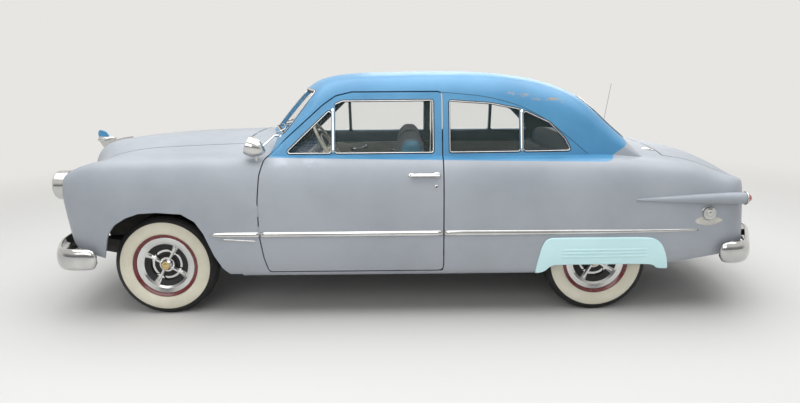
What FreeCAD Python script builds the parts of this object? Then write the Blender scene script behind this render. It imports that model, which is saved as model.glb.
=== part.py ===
# A 1950s two-door sedan with slab sides, a raised hood between the front fenders,
# a domed roof and a rounded rear deck, standing on its four wheels.
#
# Frame: millimetres, +X towards the rear, +Y towards the right side, +Z up.
# The origin is on the floor, at the middle of the overall length and width.
import FreeCAD, Part
import math
import os

Vec = FreeCAD.Vector

# Driving sizes of the whole car
HEIGHT = 1605.0
WIDTH = 1820.0
WHEELBASE = 2896.0
FRONT_OVERHANG = 820.0
REAR_OVERHANG = 1284.0
TRACK = 1422.0

# Sheet and wall thicknesses
DOOR_THICKNESS = 75.0
ROOF_THICKNESS = 38.0
PANEL_THICKNESS = 16.0
BULKHEAD_THICKNESS = 12.0
GLASS_THICKNESS = 6.0
GLASS_INSET = 14.0

# Clearances
SHUT_GAP = 8.0
SEAT_GAP = 0.3
PIN_CLEARANCE = 0.2
OVERRUN = 20.0

# Tires and wheels
TIRE_RADIUS = 342.0
TIRE_WIDTH = 172.0
RIM_RADIUS = 206.0
RIM_WIDTH = 128.0

HALF_WIDTH = WIDTH / 2
LENGTH = FRONT_OVERHANG + WHEELBASE + REAR_OVERHANG
FRONT_AXLE_X = -LENGTH / 2 + FRONT_OVERHANG
REAR_AXLE_X = FRONT_AXLE_X + WHEELBASE
AXLE_Z = TIRE_RADIUS


def along(station):
    """X of a station: -1 front bumper, 0 front axle, 1 rear axle, 2 rear bumper."""
    if station < 0:
        return FRONT_AXLE_X + station * FRONT_OVERHANG
    if station < 1:
        return FRONT_AXLE_X + station * WHEELBASE
    return REAR_AXLE_X + (station - 1) * REAR_OVERHANG


def read_line(shares, station):
    """A master line's share at a station, straight between its points."""
    if station <= shares[0][0]:
        return shares[0][1]
    for (low, low_share), (high, high_share) in zip(shares, shares[1:]):
        if station <= high:
            part = (station - low) / (high - low)
            return low_share + (high_share - low_share) * part
    return shares[-1][1]


# Master lines of the lower body: station, share of the half width or height
SIDE_SHARES = [(-0.90, 0.92), (-0.74, 0.945), (-0.5, 0.965), (0, 0.993), (0.3, 1.0),
               (0.8, 1.0), (1.1, 0.995), (1.4, 0.98), (1.6, 0.965), (1.75, 0.945)]
CROWN_SHARES = [(-0.92, 0.580), (-0.83, 0.615), (-0.65, 0.646), (-0.48, 0.655),
                (0, 0.660), (0.25, 0.664), (0.6, 0.662), (1.0, 0.650), (1.3, 0.630),
                (1.57, 0.612), (1.66, 0.592), (1.76, 0.56)]
CENTRE_SHARES = [(-0.95, 0.58), (-0.86, 0.655), (-0.76, 0.69), (-0.5, 0.706),
                 (-0.2, 0.717), (0.1, 0.725), (0.25, 0.735), (0.5, 0.735),
                 (1.0, 0.72), (1.3, 0.678), (1.42, 0.663), (1.55, 0.649),
                 (1.68, 0.619), (1.79, 0.577), (1.87, 0.53)]
SILL_SHARES = [(-0.95, 0.29), (-0.8, 0.26), (-0.5, 0.235), (-0.3, 0.215),
               (-0.15, 0.18), (0, 0.170), (1, 0.170), (1.3, 0.198), (1.6, 0.212),
               (1.9, 0.25)]
FLANK_SHARES = [(-0.9, 0.30), (-0.6, 0.42), (-0.2, 0.58), (0.3, 0.66), (0.7, 0.66),
                (1.3, 0.62), (1.6, 0.6), (1.9, 0.5)]
# Poles up a half section's side: shares of its reach and of its rise to the crown
SIDE_POLE_SHARES = [(0, 0), (0.5, 0), (0.955, 0), (0.992, 0.06), (1.002, 0.33),
                    (1.005, 0.62), (0.995, 0.82), (0.955, 0.97), (0.87, 1.02)]
# Poles over its top: shares of the side and flank, of the raised middle's hump, and
# the drop and setback that part the fenders from the hood at the nose
TOP_POLE_SHARES = [(0.435, 0.5, 0.20, 0.60, 1.0), (0, 1.0, 0.70, 0.35, 0.75),
                   (0, 0.55, 1.0, 0, 0.3), (0, 0, 1.0, 0, 0)]
# Rows of the lower body: station, plan sweep, side lean, the ring's size as it closes
# the end, and the valley beside the hood
BODY_ROW_SHARES = [
    (-0.955, 0.14, 0.10, 0.35, 0.10), (-0.955, 0.15, 0.10, 0.75, 0.12),
    (-0.93, 0.15, 0.12, 0.93, 0.14), (-0.86, 0.13, 0.17, 1.0, 0.13),
    (-0.72, 0.08, 0.17, 1.0, 0.09), (-0.5, 0.03, 0.10, 1.0, 0.03),
    (-0.25, 0, 0, 1.0, 0), (0, 0, 0, 1.0, 0), (0.25, 0, 0, 1.0, 0), (0.5, 0, 0, 1.0, 0),
    (0.75, 0, 0, 1.0, 0), (1.0, 0, 0, 1.0, 0), (1.2, -0.03, 0, 1.0, 0),
    (1.4, -0.10, 0, 1.0, 0), (1.58, -0.20, 0, 1.0, 0), (1.70, -0.26, 0, 1.0, 0),
    (1.80, -0.29, 0.05, 1.0, 0), (1.875, -0.29, 0.07, 0.95, 0),
    (1.900, -0.28, 0.08, 0.78, 0), (1.905, -0.25, 0.08, 0.35, 0)]

# Rows of the greenhouse: station, top height, vee of the windshield, bow in plan
HOUSE_ROW_SHARES = [
    (0.150, 0.640, 0.25, 0), (0.190, 0.665, 0.25, 0), (0.232, 0.775, 0.25, 0),
    (0.275, 0.865, 0.24, 0), (0.320, 0.955, 0.18, 0.02), (0.370, 0.985, 0.08, 0.04),
    (0.440, 0.998, 0, 0.05), (0.560, 1.0, 0, 0), (0.640, 1.0, 0, 0), (0.720, 1.0, 0, 0),
    (0.830, 0.985, 0, 0), (0.930, 0.945, 0, -0.12), (1.020, 0.880, 0, -0.22),
    (1.150, 0.785, 0, -0.28), (1.280, 0.700, 0, -0.30), (1.360, 0.640, 0, -0.30)]
HOUSE_WIDTH_SHARES = [(0.15, 0.985), (0.45, 1.0), (0.75, 1.0), (0.93, 0.97),
                      (1.05, 0.93), (1.36, 0.88)]
# Poles up its side as shares of the rise, then over the roof rail with width shares
HOUSE_SIDE_POLE_SHARES = (0, 0.2, 0.42, 0.64, 0.82)
HOUSE_TOP_POLE_SHARES = [(0.95, 0.92), (0.82, 0.985), (0.42, 1.0), (0, 1.0)]
HOUSE_MIDDLE_SHARE = 0.6
HOUSE_BASE_SHARE = 0.60
HOUSE_SIDE_SHARE = 0.880
HOUSE_TUMBLE_SHARE = 0.38


def body_section(station, sweep, lean, ring, dip, inset):
    """Poles of one half section of the lower body, from the bottom to the top."""
    side = read_line(SIDE_SHARES, station) * HALF_WIDTH - inset
    crown = read_line(CROWN_SHARES, station) * HEIGHT - inset
    centre = read_line(CENTRE_SHARES, station) * HEIGHT - inset
    sill = read_line(SILL_SHARES, station) * HEIGHT
    if inset > OVERRUN / 4:
        sill -= 4 * OVERRUN
    flank = read_line(FLANK_SHARES, station) * HALF_WIDTH
    rise = crown - sill
    hump = centre - crown
    valley = dip * HALF_WIDTH
    poles = [(y * side, sill + z * rise, 0) for y, z in SIDE_POLE_SHARES]
    poles += [(near * side + far * flank, crown + part * hump - drop * valley, back * valley)
              for near, far, part, drop, back in TOP_POLE_SHARES]
    middle = (sill + crown) / 2
    squeeze = (LENGTH / 2 - inset) / (LENGTH / 2)
    row = []
    for y, z, back in poles:
        y *= ring
        z = middle + ring * (z - middle)
        x = along(station) + lean * (crown - z) + back
        x += sweep * HALF_WIDTH * (y / HALF_WIDTH) ** 2
        row.append(Vec(x * squeeze, y, z))
    return row


def house_section(station, top_share, vee, bow, inset):
    """Poles of one half section of the greenhouse, from its base to the roof."""
    base = HOUSE_BASE_SHARE * HEIGHT
    top = top_share * HEIGHT - inset
    width = read_line(HOUSE_WIDTH_SHARES, station)

    def side(z):
        lean = HOUSE_SIDE_SHARE - HOUSE_TUMBLE_SHARE * (z / HEIGHT - HOUSE_BASE_SHARE)
        return lean * HALF_WIDTH * width - inset

    rise = top - base
    poles = [(side(base + part * rise), base + part * rise)
             for part in HOUSE_SIDE_POLE_SHARES]
    rail = side(top)
    poles += [(wide * rail, base + part * rise) for wide, part in HOUSE_TOP_POLE_SHARES]
    inward = inset if station < HOUSE_MIDDLE_SHARE else -inset
    return [Vec(along(station) + inward + vee * y + bow * y * y / HALF_WIDTH, y, z)
            for y, z in poles]


def skin(rows, side):
    """A cubic surface whose poles are the rows, on one side of the car."""
    poles = [[Vec(p.x, side * p.y, p.z) for p in row] for row in rows]
    knots, counts = [], []
    for number in (len(poles), len(poles[0])):
        spans = number - 3
        knots.append([k / spans for k in range(spans + 1)])
        counts.append([4] + [1] * (spans - 1) + [4])
    surface = Part.BSplineSurface()
    surface.buildFromPolesMultsKnots(poles, counts[0], counts[1], knots[0], knots[1],
                                     False, False, 3, 3)
    return surface


def closed_skin(rows, open_base):
    """A solid from mirrored skins, closed by flat ends and, if asked, a flat base."""
    for end in (0, -1):
        middle = sum(p.x for p in rows[end]) / len(rows[end])
        rows[end] = [Vec(middle, p.y, p.z) for p in rows[end]]
    left, right = skin(rows, -1), skin(rows, 1)
    faces = [left.toShape(), right.toShape()]
    for end, u in ((0, 0.0), (-1, 1.0)):
        edges = [left.uIso(u).toShape(), right.uIso(u).toShape()]
        if open_base:
            corner = rows[end][0]
            edges.append(Part.makeLine(Vec(corner.x, -corner.y, corner.z), corner))
        faces.append(Part.Face(Part.Wire(Part.__sortEdges__(edges))))
    if open_base:
        edges = [left.vIso(0.0).toShape(), right.vIso(0.0).toShape()]
        for corner in (rows[0][0], rows[-1][0]):
            edges.append(Part.makeLine(Vec(corner.x, -corner.y, corner.z), corner))
        faces.append(Part.Face(Part.Wire(Part.__sortEdges__(edges))))
    shell = Part.makeShell(faces)
    shell.sewShape()
    solid = Part.makeSolid(shell)
    if solid.Volume < 0:
        solid.reverse()
    return solid


def lower_body(inset):
    return closed_skin([body_section(*row, inset) for row in BODY_ROW_SHARES], False)


def greenhouse(inset):
    return closed_skin([house_section(*row, inset) for row in HOUSE_ROW_SHARES], True)


# Plain forms: how much of a run a rounded corner may take, and a full turn
BEND_SHARE = 0.45
FULL_TURN = 360.0


def block(x_low, x_high, y_low, y_high, z_low, z_high):
    return Part.makeBox(x_high - x_low, y_high - y_low, z_high - z_low,
                        Vec(x_low, y_low, z_low))


def rounded_wire(points, radius):
    """A closed wire through the points with each corner rounded."""
    arcs = []
    count = len(points)
    for i, corner in enumerate(points):
        before, after = points[i - 1] - corner, points[(i + 1) % count] - corner
        one, two = Vec(before).normalize(), Vec(after).normalize()
        angle = one.getAngle(two)
        trim = min(radius / math.tan(angle / 2), BEND_SHARE * min(before.Length, after.Length))
        round_radius = trim * math.tan(angle / 2)
        bisector = (one + two).normalize()
        inset = round_radius / math.sin(angle / 2) - round_radius
        arcs.append((corner + one * trim, corner + bisector * inset, corner + two * trim))
    edges = []
    for i, (start, middle, end) in enumerate(arcs):
        edges.append(Part.Arc(start, middle, end).toShape())
        edges.append(Part.makeLine(end, arcs[(i + 1) % count][0]))
    return Part.Wire(edges)


def panel_of(points, radius, way):
    """A prism of an outline, straight or with rounded corners, pushed along a way."""
    wire = rounded_wire(points, radius) if radius else Part.makePolygon(points + points[:1])
    return Part.Face(wire).extrude(way)


def side_prism(shares, radius, y_low, y_high):
    """A side-view outline of stations and height shares, pushed across the car."""
    points = [Vec(along(station), y_low, share * HEIGHT) for station, share in shares]
    return panel_of(points, radius, Vec(0, y_high - y_low, 0))


def front_prism(shares, radius, x_low, x_high):
    """A front-view outline of half-width and height shares, pushed along the car."""
    points = [Vec(x_low, y_share * HALF_WIDTH, share * HEIGHT) for y_share, share in shares]
    return panel_of(points, radius, Vec(x_high - x_low, 0, 0))


def plan_prism(shares, radius, z_low, z_high):
    """A plan outline of stations and half-width shares, pushed upward."""
    points = [Vec(along(station), share * HALF_WIDTH, z_low) for station, share in shares]
    return panel_of(points, radius, Vec(0, 0, z_high - z_low))


def rod(start, end, radius):
    way = end - start
    return Part.makeCylinder(radius, way.Length, start, way)


def turned(profile, centre, axis, smooth=0):
    """A turned form: points of distance along the axis and radius about it.

    The first points, as many as are smooth, lie on one curve.
    """
    side = axis.cross(Vec(0, 1, 0) if abs(axis.y) < 0.9 else Vec(1, 0, 0)).normalize()
    points = [centre + axis * far + side * radius for far, radius in profile]
    edges = []
    if smooth:
        curve = Part.BSplineCurve()
        curve.interpolate(points[:smooth])
        edges.append(curve.toShape())
        points = points[smooth - 1:] + points[:1]
    else:
        points = points + points[:1]
    edges += [Part.makeLine(a, b) for a, b in zip(points, points[1:])]
    solid = Part.Face(Part.Wire(edges)).revolve(centre, axis, FULL_TURN)
    if solid.Volume < 0:
        solid.reverse()
    return solid


def scaled(shares, length, radius):
    """A turned form's profile from shares of its length and radius."""
    return [(far * length, wide * radius) for far, wide in shares]


def bent_path(points, bends):
    """A wire of straight runs through the points, joined by arcs at the corners."""
    edges = []
    start = points[0]
    for i, bend in enumerate(bends, start=1):
        corner = points[i]
        before, after = points[i - 1] - corner, points[i + 1] - corner
        room = BEND_SHARE * min(before.Length, after.Length)
        one, two = before.normalize(), after.normalize()
        slope = math.tan(one.getAngle(two) / 2)
        trim = min(bend / slope, room)
        bend = trim * slope
        inset = math.hypot(bend, trim) - bend
        first, last = corner + one * trim, corner + two * trim
        edges.append(Part.makeLine(start, first))
        edges.append(Part.Arc(first, corner + (one + two).normalize() * inset, last).toShape())
        start = last
    edges.append(Part.makeLine(start, points[-1]))
    return Part.Wire(edges)


def tube_run(points, radius, bend):
    """A round bar along straight runs joined by arcs."""
    path = bent_path(points, [bend] * (len(points) - 2))
    section = Part.Wire(Part.Circle(points[0], points[1] - points[0], radius).toShape())
    return path.makePipeShell([section], True, True)


def mirrored(shape):
    return shape.mirror(Vec(0, 0, 0), Vec(0, 1, 0))


def joined(shapes):
    result = shapes[0]
    for shape in shapes[1:]:
        result = result.fuse(shape)
    return result


def both_sides(shape):
    return Part.makeCompound([shape, mirrored(shape)])


def write(name, shape):
    shape.exportStep("parts/" + name + ".step")


def reach(form, start, end):
    """Where a line from start first meets a form."""
    hit = Part.makeLine(start, end).common(form)
    return min((v.Point for v in hit.Vertexes), key=lambda p: p.distanceToPoint(start))


def skin_point(form, x, z):
    """The left side's skin at a station and height."""
    return reach(form, Vec(x, -WIDTH, z), Vec(x, 0, z))


def top_point(form, x, y):
    return reach(form, Vec(x, y, 2 * HEIGHT), Vec(x, y, AXLE_Z))


def nose_point(form, y, z):
    return reach(form, Vec(-LENGTH, y, z), Vec(0, y, z))


def top_normal(form, x, y):
    """The outward direction of the upper skin at a plan point."""
    step = OVERRUN / 4
    fore_aft = top_point(form, x + step, y) - top_point(form, x - step, y)
    across = top_point(form, x, y + step) - top_point(form, x, y - step)
    return fore_aft.cross(across).normalize()


def slab(x_low, x_high, z_low=0, z_high=2 * HEIGHT, half=WIDTH):
    return block(x_low, x_high, -half, half, z_low, z_high)


# The body shell: the outer form less the cabin, the engine bay and the trunk
FIREWALL_SHARE = 0.193
BULKHEAD_SHARE = 0.955
TRUNK_ROOM_SHARE = 0.8
FLOOR_TOP = 395.0
REAR_FLOOR_TOP = 610.0
TRUNK_FLOOR_TOP = 520.0
FLOOR_THICKNESS = 10.0
WHEELHOUSE_RADIUS = 405.0
WHEELHOUSE_INNER_Y = 580.0
COLUMN_RADIUS = 22.0
TUNNEL_RADIUS = 165.0
TUNNEL_Z = FLOOR_TOP - FLOOR_THICKNESS


def wheel_space(trim):
    """The round room for a rear wheel, on the left side, drawn in by a trim."""
    start = Vec(REAR_AXLE_X, -HALF_WIDTH + PANEL_THICKNESS, AXLE_Z)
    length = HALF_WIDTH - PANEL_THICKNESS - WHEELHOUSE_INNER_Y - trim
    return Part.makeCylinder(WHEELHOUSE_RADIUS - trim, length, start, Vec(0, 1, 0))


def body_forms():
    """The outer lower body and greenhouse, and the shells left round the hollows."""
    lower, house = lower_body(0), greenhouse(0)
    thin, thick = lower_body(PANEL_THICKNESS), lower_body(DOOR_THICKNESS)
    inner_house = greenhouse(ROOF_THICKNESS)
    wall_x, back_x = along(FIREWALL_SHARE), along(BULKHEAD_SHARE)
    bay = thin.common(slab(-LENGTH, wall_x - BULKHEAD_THICKNESS))
    trunk = thin.common(slab(back_x + BULKHEAD_THICKNESS, LENGTH))
    cabin = thick.fuse(inner_house).common(slab(wall_x, back_x))
    attic = inner_house.cut(lower).common(slab(back_x - OVERRUN, LENGTH))
    lower_shell = lower.cut(Part.makeCompound([bay, trunk])).cut(cabin)
    house_shell = house.cut(lower).cut(cabin).cut(attic)
    return lower, thin, lower_shell, house_shell


# Outlines of the shut lines and openings: station and height shares
DOOR_SHARES = [(0.2510, 0.2081), (0.2414, 0.2685), (0.2331, 0.3664), (0.2331, 0.5028),
               (0.2383, 0.6037), (0.2469, 0.6604), (0.2914, 0.7371), (0.3757, 0.8704),
               (0.4044, 0.9060), (0.4406, 0.9209), (0.6430, 0.9196), (0.6430, 0.2081)]
VENT_GLASS_SHARES = [(0.2870, 0.6790), (0.3940, 0.8600), (0.3940, 0.6790)]
DOOR_GLASS_SHARES = [(0.4020, 0.6790), (0.4020, 0.8760), (0.4195, 0.8890),
                     (0.6243, 0.8890), (0.6243, 0.6790)]
QUARTER_GLASS_SHARES = [(0.6600, 0.6790), (0.6600, 0.8870), (0.7548, 0.8740),
                        (0.8200, 0.8500), (0.8200, 0.6790)]
REAR_PANE_SHARES = [(0.8280, 0.6790), (0.8280, 0.8455), (0.8878, 0.7950),
                    (0.9230, 0.7300), (0.9380, 0.6790)]
DRIP_SHARES = [(0.6430, 0.9196), (0.7427, 0.9022), (0.8173, 0.8654), (0.8722, 0.8156),
               (0.9185, 0.7520), (0.9758, 0.6611), (0.9758, 0.5), (0.6430, 0.5)]
ARCH_SHARES = [(-0.466, 0.05), (-0.466, 0.243), (-0.437, 0.269), (-0.400, 0.345),
               (-0.387, 0.366), (-0.330, 0.405), (-0.235, 0.435), (-0.120, 0.455),
               (0.006, 0.459), (0.061, 0.452), (0.090, 0.420), (0.108, 0.369),
               (0.128, 0.278), (0.146, 0.221), (0.180, 0.165), (0.180, 0.05)]
REAR_ARCH_SHARES = [(0.872, 0.1), (0.872, 0.215), (0.880, 0.285), (0.893, 0.310),
                    (0.915, 0.325), (1.240, 0.320), (1.285, 0.295), (1.312, 0.245),
                    (1.322, 0.205), (1.322, 0.1)]
SKIRT_SHARES = [(0.8494, 0.1894), (0.8619, 0.2773), (0.8754, 0.3178), (0.9070, 0.3376),
                (1.2590, 0.3322), (1.3146, 0.2971), (1.3421, 0.2419), (1.3528, 0.1991),
                (1.2692, 0.1997), (1.2386, 0.2244), (0.8980, 0.2277), (0.8823, 0.1954)]
# How far the inner faces of doors and pillars reach in: half-width, height shares
CORRIDOR_SHARES = [(0.80, 0.10), (0.80, 0.68), (0.70, 0.95)]
HOOD_SIDE_SHARE = 0.605
HOOD_REAR_SHARE = 0.186
HOOD_FRONT_SHARE = 0.555
HOOD_GAP = 12.0
COWL_SIDE_SHARE = 0.80
COWL_REAR_SHARE = 0.40
OUTSIDE_SHARE = 1.2
DECK_SIDE_SHARE = 0.66
DECK_FRONT_SHARE = 1.365
DECK_LOW_SHARE = 0.415
GLASS_ROUND = 15.0
SHUT_ROUND = 30.0


def side_outline(shares, radius, grow):
    """A rounded side-view outline pushed through the left half, grown by a gap."""
    points = [Vec(along(s), -WIDTH, share * HEIGHT) for s, share in shares]
    wire = rounded_wire(points, radius)
    if grow:
        wire = wire.makeOffset2D(grow, 0, False, False, True)
    return Part.Face(wire).extrude(Vec(0, WIDTH - OVERRUN, 0))


def corridor(extra):
    """The room between the doors, drawn in on each side by an extra."""
    left = [(extra / HALF_WIDTH - y, z) for y, z in CORRIDOR_SHARES]
    right = [(-y, z) for y, z in reversed(left)]
    return front_prism(left + right, 0, along(0), along(1))


# The windshield's and rear window's outlines: half-width and height shares
SHIELD_SHARES = [(-0.700, 0.752), (0.700, 0.752), (0.640, 0.925), (-0.640, 0.925)]
BACKLIGHT_SHARES = [(-0.610, 0.715), (0.610, 0.715), (0.560, 0.885), (-0.560, 0.885)]
SHIELD_SPAN_SHARES = (0, 0.5)
BACKLIGHT_SPAN_SHARES = (0.85, 1.8)
SHIELD_ROUND = 45.0
BACKLIGHT_ROUND = 90.0
SHIELD_BAR_HALF = 12.0
SHIELD_BAR_PROUD = 6.0


def shield_prism():
    return front_prism(SHIELD_SHARES, SHIELD_ROUND, *map(along, SHIELD_SPAN_SHARES))


def backlight_prism():
    return front_prism(BACKLIGHT_SHARES, BACKLIGHT_ROUND, *map(along, BACKLIGHT_SPAN_SHARES))


def shield_middle():
    """The upright strip of room that the windshield's centre bar takes."""
    return slab(*map(along, SHIELD_SPAN_SHARES), half=SHIELD_BAR_HALF)


# Hinges of the doors, hood and deck lid
HINGE_PIN = 2.0
HINGE_ROUND = 3.4
HINGE_KNUCKLE = 24.0
HINGE_LEAF = 14.0
DOOR_HINGE_SHARES = (0.355, 0.440)
LID_HINGE_Y = 150.0


def hinge(base, axis, fixed_way, inward):
    """Three knuckles on a pin: the outer two stay, the middle one swings."""
    def leaf(low, high, way):
        near = base + axis * low
        corners = [near, near + way * HINGE_LEAF]
        corners += [p + inward * HINGE_ROUND for p in reversed(corners)]
        return panel_of(corners, 0, axis * (high - low))

    def knuckle(low, high, way):
        return rod(base + axis * low, base + axis * high, HINGE_ROUND).fuse(
            leaf(low, high, way))

    first, last = HINGE_KNUCKLE, 2 * HINGE_KNUCKLE
    full = base + axis * (3 * HINGE_KNUCKLE)
    fixed = joined([rod(base, full, HINGE_PIN), knuckle(0, first, fixed_way),
                    knuckle(last, 3 * HINGE_KNUCKLE, fixed_way)])
    moving = knuckle(first + SEAT_GAP, last - SEAT_GAP, fixed_way * -1)
    return fixed, moving.cut(rod(base, full, HINGE_PIN + PIN_CLEARANCE))


def door_hinges(lower):
    """The left door's two hinges, with a common upright axis in the shut gap."""
    axis_x = along(DOOR_SHARES[2][0]) - SHUT_GAP / 2
    skins = [skin_point(lower, axis_x, share * HEIGHT).y for share in DOOR_HINGE_SHARES]
    axis_y = min(skins) + PIN_CLEARANCE
    pairs = [hinge(Vec(axis_x, axis_y, share * HEIGHT), Vec(0, 0, 1), Vec(-1, 0, 0),
                   Vec(0, 1, 0)) for share in DOOR_HINGE_SHARES]
    return [p[0] for p in pairs], [p[1] for p in pairs]


def lid_hinges(lower, axis_x, fixed_way):
    """Two hinges across the car with their knuckles flush with the lid."""
    axis_z = top_point(lower, axis_x, LID_HINGE_Y).z - HINGE_ROUND
    pairs = []
    for start_y in (LID_HINGE_Y, -LID_HINGE_Y - 3 * HINGE_KNUCKLE):
        pairs.append(hinge(Vec(axis_x, start_y, axis_z), Vec(0, 1, 0), fixed_way,
                           Vec(0, 0, -1)))
    return [p[0] for p in pairs], [p[1] for p in pairs]


def roof(house_shell, gaps):
    """The roof with its windshield posts and sail panels."""
    drip = side_prism(DRIP_SHARES, 0, -WIDTH, 0)
    shape = house_shell.cut(gaps).cut(drip.fuse(mirrored(drip)))
    shape = shape.cut(shield_prism()).cut(backlight_prism())
    bar = greenhouse(GLASS_INSET - SHIELD_BAR_PROUD).cut(
        greenhouse(GLASS_INSET + GLASS_THICKNESS + SHIELD_BAR_PROUD))
    bar = bar.common(shield_prism()).common(shield_middle())
    return shape.fuse(bar)


def glazing():
    """Windshield, rear window and the left side's glass."""
    layer = greenhouse(GLASS_INSET).cut(greenhouse(GLASS_INSET + GLASS_THICKNESS))
    shield = layer.common(shield_prism()).cut(shield_middle())
    back = layer.common(backlight_prism())
    panes = [layer.common(side_outline(shares, GLASS_ROUND, 0)) for shares in
             (VENT_GLASS_SHARES, DOOR_GLASS_SHARES, QUARTER_GLASS_SHARES, REAR_PANE_SHARES)]
    panes = [pane.common(block(-LENGTH, LENGTH, -WIDTH, 0, 0, 2 * HEIGHT)) for pane in panes]
    return shield, back, panes


def door(lower_shell, house_shell, leaves):
    """The left door, as thick as the real one, with its window frames."""
    prism = side_outline(DOOR_SHARES, SHUT_ROUND, 0)
    shape = lower_shell.common(prism).fuse(house_shell.common(prism)).cut(corridor(0))
    for shares in (VENT_GLASS_SHARES, DOOR_GLASS_SHARES):
        shape = shape.cut(side_outline(shares, GLASS_ROUND, 0))
    shape = shape.cut(door_bevel())
    return joined([shape] + leaves)


DOOR_BEVEL_SHARES = (0.5, 2.0)
DOOR_BEVEL_OVERRUN_SHARE = 1.1


def door_bevel():
    """The wedge off the inside of the door's rear edge, so that it swings clear."""
    rear_x = along(DOOR_SHARES[-1][0])
    bottom, belt, top = DOOR_SHARES[-1][1], CORRIDOR_SHARES[1][1], DOOR_SHARES[-2][1]

    def skin_y(share):
        lean = HOUSE_SIDE_SHARE - HOUSE_TUMBLE_SHARE * (share - HOUSE_BASE_SHARE)
        return -lean * HALF_WIDTH

    base = Vec(rear_x, skin_y(belt), belt * HEIGHT)
    rise = Vec(0, skin_y(top) - skin_y(belt), (top - belt) * HEIGHT)
    fore, deep = (share * ROOF_THICKNESS for share in DOOR_BEVEL_SHARES)
    corners = [base, base + Vec(OVERRUN, 0, 0), base + Vec(OVERRUN, deep, 0),
               base + Vec(-fore, deep, 0)]
    return panel_of(corners, 0, rise * DOOR_BEVEL_OVERRUN_SHARE)


def quarter(lower_shell, house_shell, gap):
    """The left rear quarter: pillar behind the door, window frame, rear fender."""
    side = -DECK_SIDE_SHARE * HALF_WIDTH
    region = block(along(DOOR_SHARES[-1][0]), LENGTH, -WIDTH, side, 0, 2 * HEIGHT)
    upper = house_shell.common(side_prism(DRIP_SHARES, 0, -WIDTH, 0))
    shape = lower_shell.common(region).fuse(upper).cut(gap)
    for shares in (QUARTER_GLASS_SHARES, REAR_PANE_SHARES):
        shape = shape.cut(side_outline(shares, GLASS_ROUND, 0))
    arch = side_outline(REAR_ARCH_SHARES, SHUT_ROUND, 0)
    return shape.cut(arch).cut(wheel_space(0))


def front_fender(lower_shell, gap, hinge_leaves):
    """The left front fender with its wheel arch, back to the door's front edge."""
    rear = DOOR_SHARES[0][0]
    hood, cowl_side = -HOOD_SIDE_SHARE, -COWL_SIDE_SHARE
    out = -OUTSIDE_SHARE
    region = plan_prism([(out, out), (out, hood), (HOOD_REAR_SHARE, hood),
                         (HOOD_REAR_SHARE, cowl_side), (rear, cowl_side), (rear, out)],
                        0, 0, HEIGHT)
    shape = lower_shell.common(region).cut(gap)
    shape = shape.cut(side_outline(ARCH_SHARES, SHUT_ROUND, 0))
    shape = shape.cut(headlamp_bore())
    return joined([shape] + hinge_leaves)


def hood(lower_shell, leaves):
    half = HOOD_SIDE_SHARE * HALF_WIDTH - SHUT_GAP
    shape = lower_shell.common(slab(-LENGTH, along(HOOD_REAR_SHARE) - HOOD_GAP,
                                    HOOD_FRONT_SHARE * HEIGHT + SHUT_GAP, HEIGHT, half))
    return joined([shape] + leaves)


def cowl(lower_shell, gaps, hinge_leaves):
    """Cowl top and firewall, from the hood's rear edge to the windshield."""
    half = COWL_SIDE_SHARE * HALF_WIDTH
    shape = lower_shell.common(slab(along(HOOD_REAR_SHARE), along(COWL_REAR_SHARE), FLOOR_TOP,
                                    HEIGHT, half)).cut(gaps)
    tunnel = rod(Vec(along(0), 0, TUNNEL_Z), Vec(along(COWL_REAR_SHARE), 0, TUNNEL_Z),
                 TUNNEL_RADIUS + FLOOR_THICKNESS)
    shape = shape.cut(tunnel).cut(column_bore())
    return joined([shape] + hinge_leaves)


def deck_lid(lower_shell, leaves):
    half = DECK_SIDE_SHARE * HALF_WIDTH - SHUT_GAP
    shape = lower_shell.common(slab(along(DECK_FRONT_SHARE) + HOOD_GAP, LENGTH,
                                    DECK_LOW_SHARE * HEIGHT + SHUT_GAP, HEIGHT, half))
    return joined([shape] + leaves)


# The tail and its plate bracket
TAIL_FRONT_SHARE = 1.6
TAIL_LOW_SHARE = 0.240
PLATE_Z = 587.0
PLATE_SPAN, PLATE_RISE = 203.0, 146.0
PLATE_THICKNESS = 3.0
PLATE_STAND = 14.0
PLATE_HOLE = 3.5
PLATE_HOLE_SPAN, PLATE_HOLE_RISE = 177.8, 120.65
PLATE_POST, PLATE_POST_Y = 8.0, 60.0


def rear_body(lower_shell, hinge_leaves):
    """The panel under the rear window with the trunk's front wall, and the tail."""
    half = DECK_SIDE_SHARE * HALF_WIDTH
    upper = lower_shell.common(slab(along(BULKHEAD_SHARE) - OVERRUN,
                                    along(DECK_FRONT_SHARE), REAR_FLOOR_TOP, HEIGHT, half))
    upper = upper.cut(wheel_space(0)).cut(mirrored(wheel_space(0)))
    tail = lower_shell.common(slab(along(TAIL_FRONT_SHARE), LENGTH, TAIL_LOW_SHARE * HEIGHT,
                                   DECK_LOW_SHARE * HEIGHT, half))
    return Part.makeCompound([joined([upper] + hinge_leaves), tail.fuse(plate_bracket(tail))])


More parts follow.
